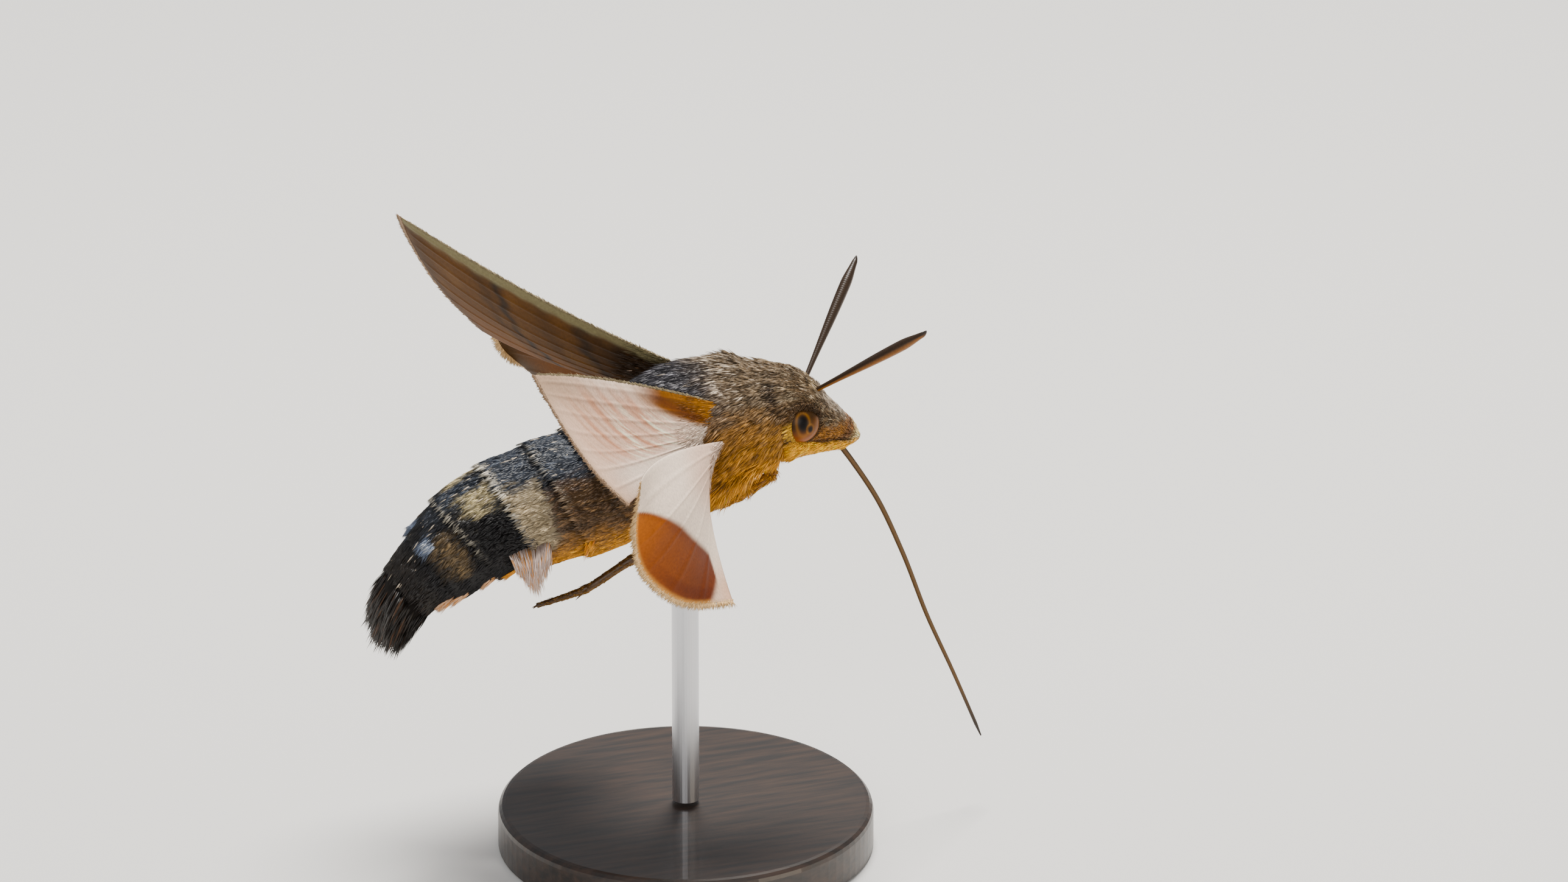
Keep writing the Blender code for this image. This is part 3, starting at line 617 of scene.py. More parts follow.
def bump(tree, shader, height, strength, distance):
    """Wires a height into the shader's normal."""
    node = add(tree, "ShaderNodeBump", Strength=strength, Distance=distance)
    tree.links.new(height, node.inputs["Height"])
    tree.links.new(node.outputs["Normal"], shader.inputs["Normal"])


def object_noise(tree, scale, detail=3.0, stretch=(1, 1, 1)):
    """Noise over the object's own coordinates."""
    place = add(tree, "ShaderNodeTexCoord")
    mapping = add(tree, "ShaderNodeMapping")
    mapping.inputs["Scale"].default_value = stretch
    noise = add(tree, "ShaderNodeTexNoise", Scale=scale, Detail=detail)
    tree.links.new(place.outputs["Object"], mapping.inputs["Vector"])
    tree.links.new(mapping.outputs["Vector"], noise.inputs["Vector"])
    return noise


def marked_material(name, roughness, variation, noise_scale, gloss, bump_depth=0.0):
    """A material coloured by the painted markings, varied by fine noise."""
    made, tree, shader = new_shader(name, Roughness=roughness, Specular_IOR_Level=gloss)
    paint = add(tree, "ShaderNodeVertexColor", layer_name="marking")
    noise = object_noise(tree, noise_scale)
    levels = add(tree, "ShaderNodeMapRange", clamp=True, From_Min=0.25, From_Max=0.75, To_Min=1 - variation,
                 To_Max=1 + variation)
    tree.links.new(noise.outputs["Fac"], levels.inputs["Value"])
    scaled = add(tree, "ShaderNodeVectorMath", operation="SCALE")
    tree.links.new(paint.outputs["Color"], scaled.inputs[0])
    tree.links.new(levels.outputs["Result"], scaled.inputs["Scale"])
    tree.links.new(scaled.outputs["Vector"], shader.inputs["Base Color"])
    if bump_depth:
        bump(tree, shader, noise.outputs["Fac"], 0.6, bump_depth)
    return made


def make_skin(shader):
    """One skin from snout to tail that takes the flesh nodes' place."""
    along = np.linspace(0.15, SPINE_LENGTH - 0.02, SKIN_ROWS)
    turn = np.linspace(0, 2 * math.pi, SKIN_COLUMNS, endpoint=False)
    grid_a, grid_t = np.meshgrid(along, turn, indexing="ij")
    points = body_point(grid_a, grid_t)
    # Painted shade: the skin under the coat is darker than the coat's markings.
    colours = body_colour(grid_a, grid_t) * SKIN_SHADE
    every = np.concatenate((points.reshape(-1, 3), points[[0, -1]].mean(1)))
    paint = np.concatenate((colours.reshape(-1, 3), colours[[0, -1]].mean(1)))
    faces = (grid_faces(SKIN_ROWS, SKIN_COLUMNS, True), end_caps(len(every), SKIN_ROWS, SKIN_COLUMNS))
    skin = mesh_object("skin", every, faces, paint)
    places = unwrap_place(grid_a, grid_t).reshape(-1, 2)
    unwrap(skin, np.concatenate((places, places[:1], places[-1:])))
    flesh = ["head", "thorax", "palp_left", "palp_right", *(f"abdomen_{n}" for n in range(1, 7))]
    finish_piece(skin, shader, "thorax_fur", *flesh)


def scatter(chance, start, end, low, high, count):
    """Random places on the body between two lengths along it and two turns, even by area."""
    along = chance.uniform(start, end, count * 2)
    turn = np.radians(chance.uniform(low, high, count * 2))
    _, _, _, width, above, below = spine_at(along)
    size = width + (above + below) / 2
    kept = chance.uniform(0, size.max(), count * 2) < size
    return along[kept][:count], turn[kept][:count]


def body_coat(name, chance, span, count, length, width, stand, look, turns=(0, 360), hang=0.35):
    """Tufts over one length of the body. stand is how steeply they rise, in degrees."""
    along, turn = scatter(chance, span[0], span[1], turns[0], turns[1], count)
    back, round_, out = body_axes(along, turn)
    roots = body_point(along, turn, -ROOT_SINK)
    away = distance_to(roots, EYE_CENTRE) - EYE_RADIUS
    keep = away > np.where(roots[:, 0] < EYE_CENTRE[0] - 0.4, -0.22, 0.03)
    along, turn, back, round_ = along[keep], turn[keep], back[keep], round_[keep]
    out, roots, away = out[keep], roots[keep], away[keep]
    x, number = roots[:, 0], len(along)
    clump = ripple(roots, 0.9, SEED, 0.6)
    lean = 0.16 * clump + chance.normal(0, 0.12, number)
    downward = hang * np.cos(turn) * smooth(18, 22, along) * smooth(34, 30, along)
    in_front_of_eye = smooth(EYE_CENTRE[0] - 0.3, EYE_CENTRE[0] + 0.5, x) * smooth(1.0, 0.1, away)
    rise = stand * chance.uniform(0.4, 1.5, number) * (1 + 0.35 * clump) + 16 * in_front_of_eye
    heading = raised(unit(back + round_ * (lean - downward)[:, None]), out, rise)
    shade = 0.28 * ripple(roots, 0.42, SEED + 1, 0.35) + chance.normal(0, 0.3, number)
    # Painted highlights: some tufts on the back, most of all on the thorax, are painted pale to stand in for
    # glints of light on the hairs.
    on_back = smooth(38, 55, flank_height(turn))
    glinting = 0.02 * on_back + 0.3 * on_back * window(0.2, 2.2, 0.5, x)
    glints = (GLINT, (chance.uniform(0, 1, number) < glinting) * 0.75)
    colours = over(body_colour(along, turn) * np.exp(shade)[:, None], glints)
    lengths = length * chance.uniform(0.7, 1.3, number) * (1 - 0.5 * in_front_of_eye)
    lengths = lengths * (1 - 0.5 * smooth(1.5, 4.4, x) * smooth(1.0, 1.6, length))
    widths = width * chance.uniform(0.7, 1.35, number)
    tufts(name, look, roots, heading, out, lengths, widths, colours, unwrap_place(along, turn))


def ring_fringes(chance, look):
    """The fringe of scales along each abdomen segment's rear edge, lying over the next segment."""
    count = 1800
    for number, edge in enumerate(SEGMENT_ALONG[1:-1]):
        turn = chance.uniform(0, 2 * math.pi, count)
        place = edge + ring_lean(edge, turn)
        along = place + chance.uniform(0.02, 0.4, count)
        back, round_, out = body_axes(place + 0.4, turn)
        roots = body_point(along, turn, -ROOT_SINK)
        heading = back + out * chance.uniform(0.0, 0.16, count)[:, None]
        heading = unit(heading + round_ * chance.normal(0, 0.1, count)[:, None])
        colours = body_colour(place + 0.12, turn) * uneven(chance, 0.25, count)
        lengths = 0.44 * chance.uniform(0.7, 1.3, count)
        widths = 0.1 * chance.uniform(0.7, 1.3, count)
        tip = 1.6 if number in PALE_RINGS else 1.1
        name = f"ring_fringe_{number + 1}"
        tufts(name, look, roots, heading, out, lengths, widths, colours, unwrap_place(along, turn), tip=tip)


def make_coat(chance, shader):
    """The coat over head, thorax and abdomen, in pieces."""
    neck = float(along_at_x(NECK_X))
    waist = SEGMENT_ALONG[-1]
    middle = (waist + neck) / 2
    ring = SEGMENT_ALONG[3]
    fur, scales = (shader, "thorax_fur"), (shader, "abdomen_fur")
    body_coat("coat_thorax_rear", chance, (waist - 0.5, middle), 17000, 1.2, 0.14, 12, fur)
    body_coat("coat_thorax_front", chance, (middle, neck + 0.9), 18000, 1.15, 0.13, 13, fur)
    body_coat("coat_belly", chance, (waist + 0.5, neck + 0.6), 9000, 1.9, 0.14, 28, fur, (205, 335), 0.1)
    body_coat("coat_head", chance, (neck + 0.3, SPINE_LENGTH - 0.03), 19500, 0.58, 0.085, 13, fur)
    body_coat("coat_abdomen_front", chance, (ring, waist), 18000, 0.75, 0.15, 6, scales)
    body_coat("coat_abdomen_rear", chance, (SEGMENT_ALONG[0], ring), 18000, 0.72, 0.14, 8, scales)
    ring_fringes(chance, scales)


def eye_material():
    """The eyes' marking under a fine net of facets."""
    made, tree, shader = new_shader("eye", Roughness=0.36, Specular_IOR_Level=0.16)
    place = add(tree, "ShaderNodeTexCoord")
    cells = add(tree, "ShaderNodeTexVoronoi", Scale=26000.0)
    tree.links.new(place.outputs["Object"], cells.inputs["Vector"])
    paint = add(tree, "ShaderNodeVertexColor", layer_name="marking")
    tree.links.new(paint.outputs["Color"], shader.inputs["Base Color"])
    bump(tree, shader, cells.outputs["Distance"], 0.3, 0.00001)
    return made


def eye_colour(way, side):
    """Brown, amber below and tan in front, with fixed dark spots that have pale rings.

    The brown over the top is partly the eye's own colour and partly painted shadow from the brow.
    """
    # The dark brown field is partly painted shadow from the brow over the eye's top.
    colour = painted(
        EYE_BROWN,
        (EYE_AMBER, smooth(0.15, -0.75, way[..., 2]) * 0.9),
        (EYE_TAN, smooth(0.1, 0.8, way[..., 0]) * smooth(0.6, 0.1, way[..., 2]) * 0.7),
    )
    for spot, size, squash in EYE_SPOTS:
        away = np.linalg.norm((way - unit(mirrored(spot, side))) * np.array((1, 1, squash)), axis=-1)
        halo = hump(away, size * 1.75, size * 0.35)
        colour = over(colour, (EYE_HALO, halo * 0.4), (EYE_SPOT, smooth(size * 1.7, size * 0.6, away)))
    return colour


def make_eyes():
    """Big compound eyes, as balls domed a little less sideways."""
    made = eye_material()
    rings, columns = 48, 96
    slope = np.linspace(0.02, math.pi - 0.02, rings)[:, None]
    turn = np.linspace(0, 2 * math.pi, columns, endpoint=False)[None, :]
    poles = np.stack((np.arange(columns), (rings - 1) * columns + np.arange(columns)[::-1]))
    for side, word in SIDE_NAMES.items():
        sideways = side * (np.cos(slope) + 0 * turn)
        way = np.stack((np.sin(slope) * np.cos(turn), sideways, np.sin(slope) * np.sin(turn)), axis=-1)
        points = mirrored(EYE_CENTRE, side) + EYE_RADIUS * way * np.array((1.0, 0.94, 1.0))
        faces = (grid_faces(rings, columns, True)[:, ::side], poles[:, ::-side])
        ball = mesh_object("eyeball_" + word, points, faces, eye_colour(way, side))
        finish_piece(ball, made, "eye", "eye_" + word)


def make_eye_rims(chance, shader):
    """Short scales that lean over the edge of each eye from the fur round it, most of all at the brow."""
    count = 16000
    look = (shader, "thorax_fur")
    for side, word in SIDE_NAMES.items():
        along = along_at_x(EYE_CENTRE[0]) + chance.uniform(-2.0, 2.0, count)
        turn = np.radians(chance.uniform(-50, 80, count))
        turn = turn if side == LEFT else math.pi - turn
        back, _, out = body_axes(along, turn)
        roots = body_point(along, turn, -ROOT_SINK)
        away = distance_to(roots, EYE_CENTRE) - EYE_RADIUS
        keep = (away > -0.1) & (away < 0.24)
        along, turn, back, out, roots = (a[keep] for a in (along, turn, back, out, roots))
        number = len(along)
        inward = mirrored(EYE_CENTRE, side) - roots
        inward = unit(inward - out * np.sum(inward * out, axis=1)[:, None])
        brow = smooth(-0.3, 0.5, -inward[:, 2]) * smooth(-0.75, 0.1, -inward[:, 0])
        rise = 28 + 26 * brow + chance.normal(0, 6, number)
        heading = raised(unit(back * 0.8 + inward * (0.25 + 0.5 * brow)[:, None]), out, rise)
        colours = body_colour(along, turn) * uneven(chance, 0.28, number)
        lengths = (0.26 + 0.2 * brow) * chance.uniform(0.75, 1.25, number)
        widths = 0.075 * chance.uniform(0.7, 1.3, number)
        places = unwrap_place(along, turn)
        tufts("eye_rim_" + word, look, roots, heading, out, lengths, widths, colours, places)


def make_tube(name, route, radii, sides, painter, shader, *nodes):
    """A round tapering tube along a route, painted by a function of length and of how far it faces up."""
    headings = unit(np.gradient(route, axis=0))
    first = unit(np.cross(headings, ACROSS))[:, None, :]
    second = np.cross(headings, first[:, 0])[:, None, :]
    turn = np.linspace(0, 2 * math.pi, sides, endpoint=False)
    ring = np.cos(turn)[None, :, None] * first + np.sin(turn)[None, :, None] * second
    points = route[:, None, :] + radii[:, None, None] * ring
    every = np.concatenate((points.reshape(-1, 3), route[:1], route[-1:]))
    paint = painter(np.linspace(0, 1, len(route))[:, None] + 0 * turn, ring[..., 2])
    paint = np.concatenate((paint.reshape(-1, 3), paint[:1, 0], paint[-1:, 0]))
    faces = (grid_faces(len(route), sides, True), end_caps(len(every), len(route), sides))
    finish_piece(mesh_object(name, every, faces, paint), shader, "chitin", *nodes)


def feeler_paint(share, up):
    """Dark above, orange brown below and dark at the tip."""
    under = smooth(0.05, -0.35, up)
    return painted(FEELER_DARK, (FEELER_ORANGE, under), (FEELER_END, smooth(0.94, 1.0, share)))


def make_antennae(shader):
    """Clubbed feelers with fine rings, ending in a small hook."""
    for side, word in SIDE_NAMES.items():
        root, tip = mirrored(ANTENNA_ROOT, side), mirrored(ANTENNA_TIP, side)
        shares = np.linspace(-0.12, 1, 300)
        route = root + (tip - root) * shares[:, None]
        swell = np.sin(math.pi * np.clip(shares / 1.6, 0, 1)) ** 2
        radii = ANTENNA_ROOT_RADIUS + (ANTENNA_CLUB_RADIUS - ANTENNA_ROOT_RADIUS) * swell
        radii *= 1 - smooth(0.82, 1.03, shares) * 0.45
        radii *= 1 + 0.012 * np.sin(shares * 2 * math.pi * ANTENNA_RINGS)
        hook = np.linspace(0, 1, 14)[1:]
        end = tip + unit(tip - root) * 0.34 * hook[:, None] + UP * 0.14 * hook[:, None] ** 2
        route = np.concatenate((route, end))
        radii = np.concatenate((radii, radii[-1] * np.sqrt(1 - 0.98 * hook)))
        make_tube("feeler_" + word, route, radii, 20, feeler_paint, shader, "antenna_" + word)


def tongue_paint(share, up):
    """Brown with a golden line along each side, and dark at the tip."""
    sides = smooth(0.55, 0.0, np.abs(up)) * 0.45
    return painted(TONGUE_BROWN, (TONGUE_GOLD, sides), (TONGUE_END, smooth(0.8, 1.0, share)))


def make_proboscis(shader):
    """The tongue, with fine rings."""
    rows = np.array([(x, 0.0, z) for x, z in PROBOSCIS_ROUTE])
    along = lengths_along(rows)
    places = np.linspace(0, along[-1], 420)
    route = hermite(rows, along, np.gradient(rows, along, axis=0), places)
    radii = np.interp(places, (0, 2, along[-1] - 1, along[-1]), (0.2, 0.19, 0.12, 0.05))
    radii = radii * (1 + 0.03 * np.sin(places * 2 * math.pi / TONGUE_RING))
    make_tube("tongue", route, radii, 24, tongue_paint, shader, "proboscis")


def wing_surface(rays, side, fold=0.0):
    """The middle surface of a wing as a function of shares along the rays and across them."""
    rays = np.array(rays, float)
    rays[:, 2, 2] += fold
    shares = np.linspace(0, 1, len(rays))
    flat_rays = rays.reshape(len(rays), -1)
    slopes = np.gradient(flat_rays, shares, axis=0)
    turned = np.array((SPAN, CHORD, np.cross(CHORD, SPAN)))

    def place(u, v):
        rows = hermite(flat_rays, shares, slopes, v.ravel()).reshape(*v.shape, 3, 3)
        start, middle, end = rows[..., 0, :], rows[..., 1, :], rows[..., 2, :]
        share = u[..., None]
        bend = 2 * middle - (start + end) / 2
        flat = start * (1 - share) ** 2 + bend * 2 * share * (1 - share) + end * share**2
        return mirrored(WING_HINGE + flat @ turned, side)

    return place


def wing_surfaces(side):
    """The forewing's and the hindwing's middle surfaces on one side."""
    fold = HINDWING_FOLD if side == RIGHT else 0.0
    return wing_surface(FOREWING_RAYS, side), wing_surface(HINDWING_RAYS, side, fold)


def vein_rise(v, veins, sharp):
    """How near a place across the wing is to a vein, 1 on its crest."""
    return sum(hump(v, vein, sharp) for vein in veins)


def forewing_above(u, v, points):
    """Colours of the forewing's upper side: brown with dark wavy lines and a pale leading edge."""
    wavy = u + 0.01 * np.sin(v * 34) + 0.2 * v
    mottle = ripple(points, 2.2, 11)
    lines = [(WING_DARK, hump(wavy, place, width) * strength) for place, strength, width in FOREWING_LINES]
    return painted(
        WING_BROWN,
        (WING_EDGE, smooth(0.45, 1.0, v) * window(0.3, 1.0, 0.25, u) * 0.8),
        (WING_DARK, (1 - smooth(0.3, 0.46, wavy)) * 0.85),
        *lines,
        (WING_DARK, smooth(0.86, 0.99, u) * 0.45),
        (WING_MOTTLE, smooth(0.2, 1.4, mottle) * 0.3),
        (WING_COSTA, (1 - smooth(0.05, 0.12, v + 0.02 * mottle)) * smooth(0.1, 0.2, u)),
    )


def forewing_below(u, v, points):
    """Colours of the forewing's underside: pale with rosy streaks that cross it, brown at the shoulder.

    The pale is partly its own colour and partly painted sunlit sheen, with a painted highlight in it, and
    the brown shoulder is painted shade on the wing's base.
    """
    sweep = np.stack((u * 1.5, (v + 1.6 * u) * 15, 0 * u), axis=-1)
    rosy = window(0.24, 0.84, 0.16, u) * window(0.06, 0.68, 0.14, v)
    shine = window(0.22, 0.55, 0.08, u) * window(0.2, 0.7, 0.12, v)
    # The pale field is partly the underside's own colour and partly painted sunlit sheen.
    colour = painted(
        WING_PALE_SHEEN,
        (WING_PINK, rosy * (0.5 + 0.3 * smooth(-0.4, 0.9, ripple(sweep, 1.0, 12)))),
        (WING_ROSE, rosy * smooth(0.1, 1.0, ripple(sweep, 0.55, 13)) * 0.45),
        # A painted highlight in the middle of the underside.
        (WING_SHINE, shine * smooth(0.2, 0.9, ripple(sweep, 0.45, 14)) * 0.9),
        (WING_HAZE, smooth(0.55, 0.95, u) * 0.55),
        (WING_FRONT, smooth(0.5, 0.95, u) * smooth(0.4, 0.05, v) * 0.7),
    )
    # Painted shade: the shoulder is the underside's brown as it looks in shade, darkest along a line inside
    # its edge and golden towards the root.
    past_shoulder = v - 0.73 * (0.56 - u)
    shoulder = painted(
        SHOULDER_BROWN,
        (SHOULDER_GOLD, smooth(0.2, 0.06, u)),
        (SHOULDER_LINE, hump(past_shoulder, -0.09, 0.07) * window(0.1, 0.4, 0.06, u) * 0.8),
    )
    colour = mix(colour, shoulder, smooth(0.05, -0.05, past_shoulder) * smooth(0.5, 0.3, u))
    return over(colour, (WING_TIP, smooth(0.9, 1.0, u) * 0.5))


def hindwing_above(u, v, points):
    """Colours of the hindwing's upper side: tawny with a brown edge and base."""
    base = (1 - smooth(0.1, 0.35, u)) * 0.6
    return painted(HIND_TAWNY, (HIND_BROWN, smooth(0.45, 0.85, u) * 0.9), (WING_DARK, base))


def hindwing_below(u, v, points):
    """Colours of the hindwing's underside: orange, and pale before its crease and along its rear edge.

    The pale is partly its own colour and partly painted sunlit sheen, and the orange's darkening towards
    the rear and just past the crease is painted shadow.
    """
    crease = 0.53 + 2.0 * np.exp(-v / 0.09) + 0.1 * np.exp((v - 0.88) / 0.05)
    rear_edge = 0.93 - 0.17 * (u - 0.8)
    past = smooth(crease - 0.03, crease + 0.03, u) * smooth(rear_edge + 0.025, rear_edge - 0.025, v)
    # The pale is partly the hindwing's own colour and partly painted sunlit sheen.
    pale = painted(
        WING_PALE_SHEEN,
        (HIND_BASE, window(0.05, 0.3, 0.12, u) * 0.5),
        (HIND_REAR, smooth(0.8, 1.0, v) * smooth(0.5, 0.9, u) * 0.7),
    )
    orange = painted(
        HIND_ORANGE,
        (HIND_GOLD, smooth(0.5, 0.1, v) * 0.7),
        # Painted shadow: darker towards the rear edge and just past the crease.
        (HIND_DEEP, smooth(0.5, 0.9, v) * 0.7),
        (HIND_DEEP, smooth(crease + 0.12, crease, u) * 0.45),
        (HIND_DEEP, window(0.86, 0.95, 0.03, u) * smooth(0.4, 0.7, v) * 0.5),
        (HIND_RIM, smooth(0.95, 1.0, u) * 0.7),
    )
    return mix(pale, orange, past)


def wing_faces(rows, columns):
    """Quads of both faces of a wing and of the wall round its rim."""
    faces = grid_faces(rows, columns, False)
    upper = rows * columns
    row, column = np.arange(rows), np.arange(columns)
    far_row = (rows - 1) * columns + column[-2::-1]
    rim = np.concatenate((column, row[1:] * columns + columns - 1, far_row, row[-2:0:-1] * columns))
    ahead = np.roll(rim, -1)
    wall = np.stack((rim, rim + upper, ahead + upper, ahead), axis=1)
    return np.concatenate((faces, faces[:, ::-1] + upper, wall))


def make_wing(kind, side, surface, veins, paints, shader):
    """A thin wing with raised veins, and with paints for its lower and its upper side."""
    rows, columns = 120, 96
    u, v = np.meshgrid(np.linspace(0.0, 1, rows), np.linspace(0, 1, columns), indexing="ij")
    middle = surface(u, v)
    normals = side * unit(np.cross(np.gradient(middle, axis=0), np.gradient(middle, axis=1)))
    rib = vein_rise(v, veins, 0.012) * (1 - smooth(0.93, 1.0, u))
    edge = np.minimum.reduce((smooth(0, 0.03, 1 - u), smooth(0, 0.02, v), smooth(0, 0.02, 1 - v)))
    half = (WING_THICKNESS / 2 * (0.35 + 0.65 * edge) + 0.05 * rib)[..., None]
    points = np.concatenate((middle - normals * half, middle + normals * half))
    colours = np.concatenate([paint(u, v, middle) for paint in paints])
    quads = wing_faces(rows, columns)
    if side == RIGHT:
        quads = quads[:, ::-1]
    piece = mesh_object(f"{kind}_sheet_{SIDE_NAMES[side]}", points, (quads,), colours)
    places = np.stack((0.02 + 0.45 * v, 0.02 + 0.9 * u), axis=-1).reshape(-1, 2)
    unwrap(piece, np.concatenate((places, places + (0.5, 0.0))))
    finish_piece(piece, shader, kind, f"{kind}_{SIDE_NAMES[side]}")


def wing_fringe(name, look, chance, surface, count, length, colour, tone, leading=False):
    """Fine scales that stand out past a wing's outer margin, or along its leading edge."""
    if leading:
        u, v = chance.uniform(0.12, 0.97, count), np.full(count, 0.0)
        heading = (surface(u, v) - surface(u, v + 0.03)) * 0.5 + (surface(u + 0.02, v) - surface(u, v))
        along = surface(u + 0.01, v) - surface(u - 0.01, v)
    else:
        v, u = chance.uniform(0, 1, count), np.ones(count)
        heading = surface(u, v) - surface(u - 0.04, v)
        along = surface(u, np.clip(v + 0.01, 0, 1)) - surface(u, np.clip(v - 0.01, 0, 1))
    heading = unit(heading)
    out = unit(np.cross(heading, along))
    heading = unit(heading + chance.normal(0, 0.16, (count, 3)))
    roots = surface(u, v) - heading * 0.15
    colours = linear(colour) * uneven(chance, tone, count)
    lengths = length * chance.uniform(0.6, 1.25, count)
    widths = chance.uniform(0.05, 0.11, count)
    places = patch_place(v, u)
    tufts(name, look, roots, heading, out, lengths, widths, colours, places, bend=0.05, tip=1.0, root=0.7)


def make_wings(chance, shader, coat_shader):
    """Both wings of each side with their fringes."""
    fore_look, hind_look = (coat_shader, "forewing"), (coat_shader, "hindwing")
    for side, word in SIDE_NAMES.items():
        fore, hind = wing_surfaces(side)
        make_wing("forewing", side, fore, FOREWING_VEINS, (forewing_below, forewing_above), shader)
        make_wing("hindwing", side, hind, HINDWING_VEINS, (hindwing_below, hindwing_above), shader)
        wing_fringe("forewing_fringe_" + word, fore_look, chance, fore, 1500, 0.5, FRINGE_GREY, 0.22)
        wing_fringe("forewing_costa_" + word, fore_look, chance, fore, 1500, 0.45, COSTA_GREY, 0.3, True)
        wing_fringe("hindwing_fringe_" + word, hind_look, chance, hind, 1600, 0.6, FRINGE_PALE, 0.2)


def make_tail(chance, shader):
    """The tail brush: long flat scales in a fan, brown at their tips."""
    count = 3600
    place = chance.uniform(-1, 1, count)
    tier = chance.uniform(-1, 1, count)
    along = chance.uniform(0.9, 2.6, count)
    centres, forward, upward, width, above, _ = spine_at(along)
    roots = centres + ACROSS * (width * 0.9 * place * np.sqrt(1 - 0.6 * tier**2))[:, None]
    roots = roots + upward * (above * 0.85 * tier)[:, None]
    heading = -forward + ACROSS * (0.2 * place)[:, None] - upward * (0.06 + 0.04 * tier)[:, None]
    heading = unit(heading + chance.normal(0, 0.05, (count, 3)))
    out = unit(upward * np.where(tier > 0, 1.0, -1.0)[:, None] + ACROSS * (0.4 * place)[:, None])
    notch = 0.16 * np.abs(np.sin(place * 3.6 + 0.9 * tier))
    lengths = (3.1 - 0.7 * place**2 - 0.5 * np.abs(tier)) * (1.05 - notch) * chance.uniform(0.7, 1.1, count)
    colours = linear(TAIL_BLACK) * uneven(chance, 0.35, count)
    colours = over(colours, (TAIL_BROWN, (chance.uniform(0, 1, count) < 0.1) * 0.6))
    widths = chance.uniform(0.16, 0.3, count)
    places = unwrap_place(along, np.arctan2(tier, place))
    tufts("tail_brush", (shader, "tail_fur"), roots, heading, out, lengths, widths, colours, places,
          bend=0.06, thick=0.2, tip=1.8, nodes=("tail_fan",))


def side_brush(name, look, chance, x, height, reach, count, colours, ways, width=0.16, spread=0.4, fan=10):
    """A brush of long scales on both flanks at x and at a height above the flank.

    colours are those of most scales and of the rest, and ways how far they sweep back, stand out and hang.
    """
    sweep, stand, hang = ways
    side = np.where(chance.uniform(0, 1, count) < 0.5, 1.0, -1.0)
    place = chance.uniform(-1, 1, count)
    along = float(along_at_x(x)) + spread * place
    rise = np.radians(height + chance.uniform(-fan, fan, count))
    turn = np.where(side > 0, rise, math.pi - rise)
    back, _, out = body_axes(along, turn)
    gather = 0.75 * spread * (place - 0.1) / reach
    heading = back * (sweep + gather)[:, None] + out * stand - UP * hang
    heading = unit(heading + chance.normal(0, 0.09, (count, 3)))
    roots = body_point(along, turn, -0.1)
    paint = linear(colours[0]) * uneven(chance, 0.14, count)
    paint = over(paint, (colours[1], (chance.uniform(0, 1, count) < 0.25) * 0.7))
    lengths = reach * (1 - 0.55 * np.abs(place - 0.1)) * chance.uniform(0.6, 1.1, count)
    widths = width * chance.uniform(0.7, 1.3, count)
    places = unwrap_place(along, turn)
    tufts(name, look, roots, heading, out, lengths, widths, paint, places, thick=0.25, tip=1.1)


def make_brushes(chance, shader):
    """White and orange tufts along the abdomen's sides."""
    look = (shader, "abdomen_fur")
    white = (TUFT_WHITE, (228, 158, 84))
    orange = ((222, 158, 76), (190, 110, 40))
    peach = ((228, 190, 160), (206, 140, 70))
    spot = ((136, 144, 160), (222, 224, 226))
    side_brush("tuft_white", look, chance, -13.7, -16, 2.9, 3400, white, (0.1, 0.8, 0.8), 0.11, 1.5, 8)
    side_brush("tuft_gold", look, chance, -9.5, -28, 1.3, 240, orange, (0.5, 0.25, 0.7), 0.12, 0.26, 7)
    side_brush("tuft_low_front", look, chance, -14.7, -50, 1.5, 700, orange, (1.0, 0.22, 0.1), spread=0.7)
    side_brush("tuft_low_middle", look, chance, -16.5, -47, 1.5, 700, peach, (1.0, 0.2, 0.1), spread=0.7)
    side_brush("tuft_low_rear", look, chance, -18.9, -38, 1.7, 1300, peach, (1.0, 0.2, 0.1), spread=1.0)
    side_brush("tuft_spot", look, chance, -18.1, 60, 1.0, 320, spot, (1.0, 0.4, 0.0), 0.12, 0.35, 8)


def wing_root_fur(name, look, chance, side, surface, below, paint, count, reach):
    """Fur over the base of one face of a wing."""
    u = reach * chance.uniform(0, 1, count) ** 1.9
    v = chance.uniform(0, 1, count)
    ahead = unit(surface(u + 0.03, v) - surface(u, v))
    aside = surface(u, v + 0.01) - surface(u, v - 0.01)
    out = unit(np.cross(aside, ahead)) * (side if below else -side)
    heading = ahead + out * chance.uniform(0.02, 0.12, count)[:, None] + chance.normal(0, 0.06, (count, 3))
    heading = unit(heading - UP * 0.12)
    roots = surface(u, v) + out * 0.05 - ahead * 0.5
    colours = over(paint(u, v, roots), (GOLD if below else DARK_BROWN, smooth(0.05, 0.0, u) * 0.8))
    colours = colours * uneven(chance, 0.16, count)
    lengths = 0.95 * chance.uniform(0.6, 1.3, count)
    widths = chance.uniform(0.05, 0.1, count)
    places = patch_place(v, u)
    tufts(name, look, roots, heading, out, lengths, widths, colours, places, bend=0.05, tip=1.05, root=0.75)


def make_wing_roots(chance, shader):
    """Fur that runs from the thorax out over both faces of the wings' bases."""
    look = (shader, "thorax_fur")
    for side, word in SIDE_NAMES.items():
        fore, hind = wing_surfaces(side)
        for kind, *layer in (
            ("fore_below", fore, True, forewing_below, 2200, 0.24),
            ("fore_above", fore, False, forewing_above, 1500, 0.26),
            ("hind_below", hind, True, hindwing_below, 1000, 0.11),
            ("hind_above", hind, False, hindwing_above, 1000, 0.2),
        ):
            wing_root_fur(f"wing_root_{kind}_{word}", look, chance, side, *layer)


def folded_leg_paint(share, up):
    """Colours of a leg folded under the thorax: golden brown like the fur round it."""
    return painted(FOLDED_BROWN, (FOLDED_GOLD, smooth(0.3, -0.6, up)))


